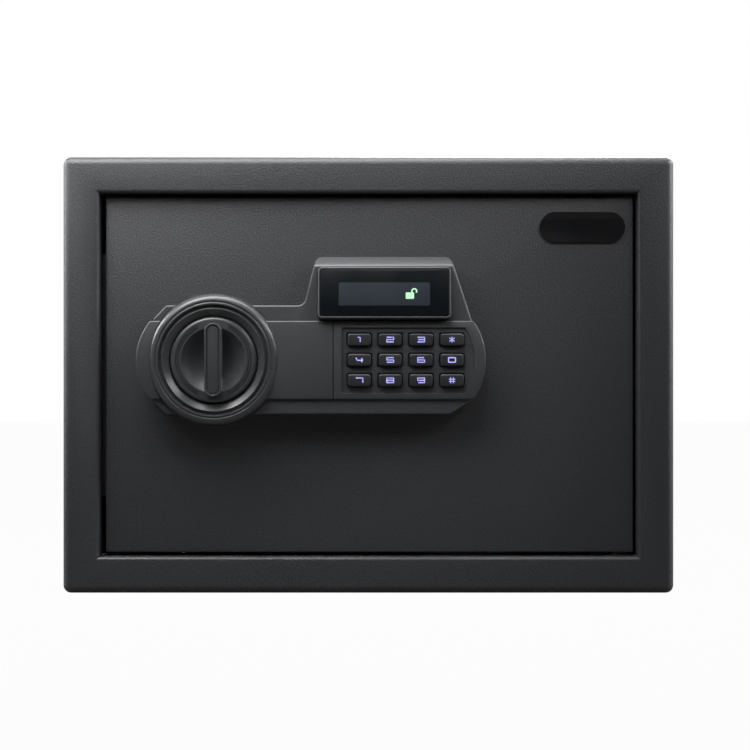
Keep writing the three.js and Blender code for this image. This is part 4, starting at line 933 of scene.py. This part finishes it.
def windowGlass():
    # Black printed glass with a clear window in front of the grey display
    look = displayLook
    material, tree, shader = newMaterial('displayGlass')
    place = addNode(tree, 'SeparateXYZ', Vector=objectPlace(tree))
    squares = []
    for axis, centre, size in zip('XZ', look['windowPlace'], look['window']):
        away = mathNode(tree, 'ABSOLUTE',
                        mathNode(tree, 'SUBTRACT', place.outputs[axis], centre / 1000))
        reach = (size / 2 - look['windowRadius']) / 1000
        past = mathNode(tree, 'MAXIMUM', mathNode(tree, 'SUBTRACT', away, reach), 0.0)
        squares.append(mathNode(tree, 'MULTIPLY', past, past))
    distance = mathNode(tree, 'SQRT', mathNode(tree, 'ADD', *squares))
    fade = [(look['windowRadius'] + step) / 1000 for step in look['windowFade']]
    inside = remap(tree, distance, *fade)
    patch = useGroup(tree, patchGroup, Scale=look['patchScale']).outputs['Patch']
    grey = mixColour(tree, patch, *[srgb(colour) for colour in look['greys']])
    setInputs(tree, shader, Base_Color=mixColour(tree, inside, srgb(look['printBlack']), grey),
              Roughness=remap(tree, patch, 0, 1, *look['roughness']),
              Specular_IOR_Level=look['specular'])
    return material


def makeDisplay():
    look, depth = displayLook, consoleLook['podDepth']
    x, y, rise = podMiddle()
    middle = (knobPlace[0] + x, knobPlace[1] - rise, knobPlace[2] + y)
    lean = (math.radians(90 - consoleLook['podLean']), 0, 0)
    top, bottom = -look['sink'], -look['sink'] - look['glass']
    bezel = podBlock('displayBezel', 0, -depth, 0)
    roundEdges(bezel, look['edge'], 4, upward)
    slotX, slotY = look['slot']
    cutAway(bezel, podBlock('pane', look['lip'], bottom - look['gap'], 1),
            block('slot', (-slotX, -slotY, -look['slotDepth']), (slotX, slotY, 1)))
    soften(bezel, look['innerEdge'], 2, 50)
    setDown(bezel, middle, lean, smooth=30)
    finish(bezel, 'mouldedPlastic', 'door', 'display_bezel')

    glass = podBlock('displayPane', look['lip'] + look['gap'], bottom, top)
    soften(glass, look['glassEdge'], 3, 50)
    setDown(glass, middle, lean, smooth=30)
    finishes['displayGlass'] = windowGlass()
    finish(glass, 'displayGlass', 'door', 'display_glass')

    iconX, iconY = look['icon']
    halfX, halfY = [size / 2 for size in look['iconSize']]
    lock = plate('padlockIcon', centred(halfX, halfY, look['iconRadius'], iconX, iconY),
                 top - look['iconRise'], top + look['iconRise'])
    paint(lock, finishes['iconCore'])
    (offX, offY), radius = look['shackle'], look['shackleRadius']
    arc = near(iconX + offX, iconY + halfY + offY,
               [(radius * math.cos(a), radius * math.sin(a))
                for a in [math.radians(180 - 220 * k / 14) for k in range(15)]])
    foot = (arc[0][0], iconY + halfY - 0.3)
    joinInto(lock, strokeMesh('shackle', [[foot, *arc]], look['shackleStroke'], top, 'iconCore'))
    setDown(lock, middle, lean, smooth=0)
    finish(lock, 'iconCore', 'door', None)


makeDisplay()
print("display made")


# Knob ring and knob

def makeRing():
    look = ringLook
    radius, top, foot = look['radius'], look['top'], look['foot']
    shoulderInner = radius - look['shoulder']
    beadOuter = shoulderInner - look['fineGroove']
    beadInner = beadOuter - look['bead']
    lipOuter = beadInner - look['groove']
    lipInner = lipOuter - look['lip']
    lipTop, floor = top - look['lipDrop'], top - look['grooveDepth']
    fine = [(shoulderInner - look['fineGroove'] * k / 8,
             top - look['fineDepth'] * math.sin(math.pi * k / 8)) for k in range(1, 8)]
    profile = [
        (radius - 2, foot), (radius, foot), *ringShoulder(), *fine,
        *near(beadOuter, top, look['beadOuter']), *near(beadInner, top, look['beadInner']),
        *near(beadInner, floor, look['floorEdge']), *near(lipOuter, lipTop, look['lipOuter']),
        *near(lipInner, lipTop, look['lipInner']),
        *near(look['inner'], top - look['funnel'], look['funnelEdge']),
        (look['inner'], foot), (lipOuter, foot), (lipOuter + 0.2, floor - 2),
        (radius - 3, floor - 3)]
    ring = turned('knobRing', profile, 160)
    setDown(ring, knobPlace, toFront, smooth=30)
    finish(ring, 'ringPlastic', 'door', 'knob_ring')


gripLook = dict(
    width=9.8, length=41.7, rise=22.6, flare=(1.12, 1.03, 1), border=1.15, groove=0.7,
    grooveDepth=0.9, panelDrop=0.4, edge=0.32)


def gripBar():
    look = gripLook
    half, rise, border = look['width'] / 2, look['rise'], look['border']
    outline = centred(half, look['length'] / 2, half - pillSlack)
    bar = plate('gripBar', outline, knobLook['back'] + 1, rise, steps=14)
    resizeFaces(bar, downward, look['flare'])
    bed = rise - look['grooveDepth']
    cutAway(bar, plate('trench', outline, bed, rise + 1, border, 14))
    addOn(bar, plate('panel', outline, bed - 0.3, rise - look['panelDrop'],
                     border + look['groove'], 14))
    soften(bar, look['edge'], 3, 40)
    return bar


knobLook = dict(
    radius=24.6, back=5, rim=18.4, edge=2.3, dish=18.5, dishDepth=7.6, hub=8, hubRise=2.4,
    bore=4.3, arcs=(20.0, 21.3), arcWidth=0.65, arcDepth=0.85, arcReach=66)


def arcGroove(radius, turn):
    # A groove that runs round the rim on one side of the grip
    look = knobLook
    reach, half = look['arcReach'], look['arcWidth'] / 2
    angles = [math.radians(turn - reach + 2 * reach * k / 40) for k in range(41)]
    points = [(r * math.cos(a), r * math.sin(a), 0)
              for r, row in ((radius + half, angles), (radius - half, angles[::-1])) for a in row]
    return plate('groove', points, look['rim'] - look['arcDepth'], look['rim'] + 1)


def makeKnob():
    look = knobLook
    radius, edge, back, rim = look['radius'], look['edge'], look['back'], look['rim']
    bowlRadius = (look['dish'] ** 2 + look['dishDepth'] ** 2) / (2 * look['dishDepth'])
    sweep = math.asin(look['dish'] / bowlRadius)
    floor = rim - look['dishDepth']
    bowl = [(bowlRadius * math.sin(a), floor + bowlRadius * (1 - math.cos(a)))
            for a in [sweep * k / 24 for k in range(24, -1, -1)]]
    knob = turned('turningKnob', [
        (0, look['hubRise']), (look['hub'], look['hubRise']), (look['hub'], back),
        (radius - edge, back), (radius, back + edge), *quarter(radius, rim - edge, edge, edge, 5),
        *bowl], 144)
    for arc in look['arcs']:
        cutAway(knob, arcGroove(arc, 0), arcGroove(arc, 180))
    addOn(knob, gripBar())
    cutAway(knob, rod(look['bore'], -1, back + 1))
    setDown(knob, knobPlace, toFront, smooth=30)
    finish(knob, 'ringPlastic', 'knob', 'knob')


makeRing()
makeKnob()
print("ring and knob made")


# Bolts, lock and the inner side of the door

boltLook = dict(tip=1.5, back=0.4)


def makeBolts():
    low, high = boxOf('bolt_upper')[:2]
    radius, length, tip = (high.z - low.z) / 2, high.x - low.x, boltLook['tip']
    bolt = turned('bolt', [(0, 0), (radius - boltLook['back'], 0), (radius, boltLook['back']),
                           *quarter(radius, length - tip, tip, tip, 5), (0, length)], 72)
    for level in ('upper', 'lower'):
        high, middle = boxOf('bolt_' + level)[1:]
        twin = copyOf(bolt, level + 'Bolt')
        setDown(twin, (high.x, middle.y, middle.z), (0, math.radians(-90), 0))
        finish(twin, 'steelTurned', 'bolts', 'bolt_' + level)
    bpy.data.objects.remove(bolt)


lockLook = dict(
    barrel=[(6.3, -6), (8.3, -6), (8.3, 10), (9.3, 10), (9.6, 10.3), (9.6, 11.1), (9.2, 11.5),
            (6.7, 11.5), (6.3, 11.2)],
    plug=[(0, -6.3), (6, -6.3), (6, 11.1), (5.6, 11.5), (0, 11.5)], cam=(-4, -4, 15, 4, 3.98),
    camHeights=(-9.3, -6.28), keyway=((-1.1, -4, -0.5), (1.1, 4, 13)), edge=0.2)


def makeLock():
    look = lockLook
    middle = boxOf('lock_body')[2]
    place = (middle.x, knobPlace[1], middle.z)
    barrel = turned('lockBarrel', look['barrel'], 72)
    setDown(barrel, place, toFront)
    finish(barrel, 'brassTurned', 'door', 'lock_body')
    plug = turned('lockPlug', look['plug'], 72)
    addOn(plug, plate('cam', rectangle(*look['cam']), *look['camHeights']))
    cutAway(plug, block('keyway', *look['keyway']))
    soften(plug, look['edge'], 2, 50)
    setDown(plug, place, toFront)
    finish(plug, 'brassTurned', 'lock_cylinder', 'lock_cylinder')


cellLook = dict(  # the sleeve is offset from the cell's radius, the tip is measured from its axis
    sleeve=[(-1.6, 0), (-1.4, 0.35), (-0.7, 0.1), (0, 0.7), (0, 48.2), (-0.7, 49), (-1.6, 48.7)],
    tip=[(3.1, 48.7), (2.7, 49), (2.7, 50.2), (2.4, 50.5), (0, 50.5)], steelAbove=48.5,
    steelBelow=0.6, steelInset=1)


def makeBatteries():
    look = cellLook
    low, high = boxOf('battery_1')[:2]
    radius = (high.x - low.x) / 2
    cell = turned('cell', [(0, 0), *near(radius, 0, look['sleeve']), *look['tip']], 48)
    cell.data.materials.append(finishes['cellSleeve'])
    cell.data.materials.append(finishes['steelTurned'])
    for face in cell.data.polygons:
        x, y, z = face.center
        atFoot = z < look['steelBelow'] and math.hypot(x, y) < radius - look['steelInset']
        if atFoot or z > look['steelAbove']:
            face.material_index = 1
    for i in range(1, 5):
        name = 'battery_' + str(i)
        low, high, middle = boxOf(name)
        twin = copyOf(cell, 'cell' + str(i))
        tipUp = i % 2 == 1
        setDown(twin, (middle.x, middle.y, low.z if tipUp else high.z),
                (0 if tipUp else math.radians(180), 0, 0))
        finish(twin, None, 'door', name)
    bpy.data.objects.remove(cell)


screwLook = dict(
    shank=[(0, -5), (1.2, -5), (1.6, -4.6), (1.6, 0), (3.2, 0)], head=3.2, headFoot=0.5, dome=1.4,
    top=1.9, slot=(1.9, 0.35), slotFoot=0.9)


def makeCoverScrews():
    look = screwLook
    head = look['head']
    dome = quarter(head, look['headFoot'], head, look['dome'], 6, 6)
    screw = turned('coverScrew', [*look['shank'], *dome, (0, look['top'])], 40)
    for halfX, halfY in (look['slot'], look['slot'][::-1]):
        cutAway(screw, block('slot', (-halfX, -halfY, look['slotFoot']), (halfX, halfY, 3)))
    for i in range(1, 5):
        name = 'back_cover_screw_' + str(i)
        high, middle = boxOf(name)[1:]
        twin = copyOf(screw, 'coverScrew' + str(i))
        setDown(twin, (middle.x, high.y - look['top'], middle.z), toBack)
        finish(twin, 'zincPlate', 'door', name)
    bpy.data.objects.remove(screw)


springLook = dict(wire=0.4, turns=5, pull=4.1)


def makePlungerSpring():
    # The plunger's collar presses it together from below
    look = springLook
    low, high, middle = boxOf('plunger_spring')
    wire, turns, height = look['wire'], look['turns'], high.z - low.z
    bpy.ops.mesh.primitive_circle_add(
        vertices=10, radius=wire, location=((high.x - low.x) / 2 - wire, 0, wire),
        rotation=(math.radians(90), 0, 0))
    spring = newest('plungerSpring')
    applyPlace()
    modify(spring, 'SCREW', iterations=turns, screw_offset=(height - 2 * wire) / turns, steps=28)
    editAll()
    bpy.ops.mesh.remove_doubles(threshold=0.002)
    bpy.ops.mesh.fill_holes(sides=0)
    turnOutwards()
    setDown(spring, (middle.x, middle.y, low.z))
    finish(spring, 'steelTurned', 'door', 'plunger_spring')
    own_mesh(spring)


buttonLook = dict(  # the cap is offset from its top
    flange=[(0, 0), (5.2, 0), (5.2, 1.4), (4, 1.4)],
    cap=[(4, -0.7), (3.8, -0.2), (3.3, 0), (2.4, -0.15), (0, -0.3)])


def makeResetButton():
    look = buttonLook
    low, high, middle = boxOf('reset_button')
    button = turned('resetButton', [*look['flange'], *near(0, high.y - low.y, look['cap'])], 56)
    setDown(button, (middle.x, low.y, middle.z), toBack)
    finish(button, 'redPlastic', 'reset_button', 'reset_button')


lidLook = dict(
    radius=3, edge=0.6, groove=(1, 9.5, 0.9), grooveDepth=0.8, grooveStart=9, groovePitch=4)


def makeBatteryLid():
    look = lidLook
    low, high, middle = boxOf('battery_cover')
    thick = high.y - low.y
    halfX, halfZ = (high.x - low.x) / 2, (high.z - low.z) / 2
    lid = plate('batteryLid', centred(halfX, halfZ, look['radius']), 0, thick, steps=6)
    soften(lid, look['edge'], 3, 40)
    for k in range(3):  # finger grooves at the end that slides out
        x = -halfX + look['grooveStart'] + k * look['groovePitch']
        cutAway(lid, plate('groove', centred(*look['groove'], x), thick - look['grooveDepth'],
                           thick + 1))
    setDown(lid, (middle.x, low.y, middle.z), toBack)
    finish(lid, 'keyPlastic', 'battery_cover', 'battery_cover')


makeBolts()
makeLock()
makeBatteries()
makeCoverScrews()
makePlungerSpring()
makeResetButton()
makeBatteryLid()
print("inner side made")


# Floor mat

matLook = dict(
    width=339.4, length=223.4, thick=2.6, radius=4, ripple=0.25, waveX=(0.045, 1.3),
    waveY=(0.06, 0.4))


def makeMat():
    look = matLook
    low, high, middle = boxOf('floor_mat')
    halfX, halfY, radius = (high.x - low.x) / 2, (high.y - low.y) / 2, look['radius']
    bpy.ops.mesh.primitive_grid_add(x_subdivisions=90, y_subdivisions=60, size=1)
    mat = newest('feltMat')
    (rateX, startX), (rateY, startY) = look['waveX'], look['waveY']
    for vertex in mat.data.vertices:  # a square grid, its corners drawn in to the cut radius
        x, y = vertex.co.x * 2 * halfX, vertex.co.y * 2 * halfY
        overX, overY = abs(x) - halfX + radius, abs(y) - halfY + radius
        if overX > 0 and overY > 0 and math.hypot(overX, overY) > radius:
            shrink = radius / math.hypot(overX, overY)
            x = math.copysign(halfX - radius + overX * shrink, x)
            y = math.copysign(halfY - radius + overY * shrink, y)
        wave = math.sin(x * rateX + startX) * math.cos(y * rateY + startY)
        vertex.co = (x, y, look['ripple'] * wave)
    modify(mat, 'SOLIDIFY', thickness=look['thick'], offset=0)
    setDown(mat, middle, smooth=40)
    finish(mat, 'feltGrey', 'safe_body', 'floor_mat')


makeMat()
print("mat made")


# Finishes of the nodes that stay

nodeFinishes = dict(
    powderCoat=['back_panel', 'door_frame', 'back_cover', 'hinge_block_bottom',
                'hinge_block_top'],
    blackSteel=['hinge_pin_bottom', 'hinge_pin_top', 'hinge_washer'],
    nylonBlack=['hinge_bush_bottom', 'hinge_bush_top', 'spindle_bush'],
    # the stop strip takes the coat painted dark as shade, where the door gap lies in shadow
    coatPaintedShade=['door_stop_strip'],
    zincPlate=['bolt_carriage', 'solenoid_body'],
    steelTurned=['knob_spindle', 'guide_stud', 'solenoid_plunger'],
    circuitGreen=['circuit_board'],
    keyPlastic=['display_module', 'battery_box'])
for finishName, nodeNames in nodeFinishes.items():
    for nodeName in nodeNames:
        paint(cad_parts[nodeName], finishes[finishName])
print("nodes finished")


# Camera, light and backdrop, in metres

cameraLook = dict(x=0.0038, z=0.125, distance=1.1, frontY=-0.125, frameWidth=0.4289, sensor=36)


def makeCamera():
    look = cameraLook
    bpy.ops.object.camera_add(location=(look['x'], look['frontY'] - look['distance'], look['z']),
                              rotation=(math.radians(90), 0, 0))
    camera = bpy.context.object
    camera.data.sensor_width = camera.data.sensor_height = look['sensor']
    camera.data.sensor_fit = 'HORIZONTAL'
    camera.data.lens = look['sensor'] * look['distance'] / look['frameWidth']
    camera.data.clip_end = 50
    scene.camera = camera


frontAim = (-0.1, -0.12, 0.2)
lampLook = dict(  # place, aim, size, power, spread; the last three light the sides and the back
    left=((-0.3, -0.32, 0.45), frontAim, (0.3, 0.3), 0.33, 90),
    strip=((-0.15, -0.27, 0.42), frontAim, (0.5, 0.15), 0.27, 65),
    top=((-0.08, -0.18, 0.5), frontAim, (0.6, 0.15), 1.32, 120),
    right=((0.3, -0.42, 0.45), frontAim, (0.2, 0.2), 0.22, 90),
    leftSide=((-1.0, 0.1, 0.6), (-0.17, 0, 0.12), (0.6, 0.6), 2.3, 50),
    rightSide=((1.0, 0.0, 0.6), (0.17, 0, 0.12), (0.6, 0.6), 2.3, 50),
    rear=((0.3, 1.2, 0.7), (0, 0.1, 0.12), (0.8, 0.8), 4.0, 50))


def makeLamps():
    for name, (place, aim, size, power, spread) in lampLook.items():
        bpy.ops.object.light_add(type='AREA', location=place)
        lamp = newest(name + 'Lamp')
        lamp.data.shape = 'RECTANGLE'
        lamp.data.size, lamp.data.size_y = size
        lamp.data.energy = power
        lamp.data.spread = math.radians(spread)
        away = Vector(aim) - Vector(place)
        lamp.rotation_euler = away.to_track_quat('-Z', 'Y').to_euler()


backdropLook = dict(
    size=8, drop=0.0002, grey=(0.1, 0.1, 0.1, 1), roughness=0.9, floorSeen=0.975,
    floorMirrored=0.1, ambient=0.03, frontMirrored=0.04, behind=(-0.1, 0.35))


def mirrorRay(tree, path):
    return mathNode(tree, 'MAXIMUM', path['Is Glossy Ray'], path['Is Transmission Ray'])


def makeBackdrop():
    look = backdropLook
    bpy.ops.mesh.primitive_plane_add(size=look['size'], location=(0, 0, -look['drop']))
    floor = newest('floor')
    material, tree, diffuse = newMaterial('whiteFloor')
    setInputs(tree, diffuse, Base_Color=look['grey'], Roughness=look['roughness'],
              Specular_IOR_Level=0.0)
    path = addNode(tree, 'LightPath').outputs
    seen = mathNode(tree, 'MULTIPLY', path['Is Camera Ray'], look['floorSeen'])
    mirrored = mathNode(tree, 'MULTIPLY', mirrorRay(tree, path), look['floorMirrored'])
    mix = addNode(tree, 'MixShader', Fac=mathNode(tree, 'MAXIMUM', seen, mirrored))
    tree.links.new(diffuse.outputs[0], mix.inputs[1])
    tree.links.new(addNode(tree, 'Emission').outputs[0], mix.inputs[2])
    tree.links.new(mix.outputs[0], tree.nodes['Material Output'].inputs['Surface'])
    paint(floor, material)

    # The world is white to the camera, and to mirrored rays where it stands behind the object
    world = bpy.data.worlds.new('studio')
    scene.world = world
    world.use_nodes = True
    tree = world.node_tree
    generated = addNode(tree, 'TexCoord').outputs['Generated']
    direction = addNode(tree, 'SeparateXYZ', Vector=generated).outputs
    behind = remap(tree, direction['Y'], *look['behind'], look['frontMirrored'], 1.0, smooth=True)
    path = addNode(tree, 'LightPath').outputs
    mirrored = mathNode(tree, 'MULTIPLY', mirrorRay(tree, path), behind)
    level = mathNode(tree, 'MAXIMUM', path['Is Camera Ray'], mirrored)
    setInputs(tree, tree.nodes['Background'], Color=(1, 1, 1, 1),
              Strength=mathNode(tree, 'MAXIMUM', level, look['ambient']))


makeCamera()
makeLamps()
makeBackdrop()
scene.view_settings.view_transform = 'Standard'
print("studio ready")
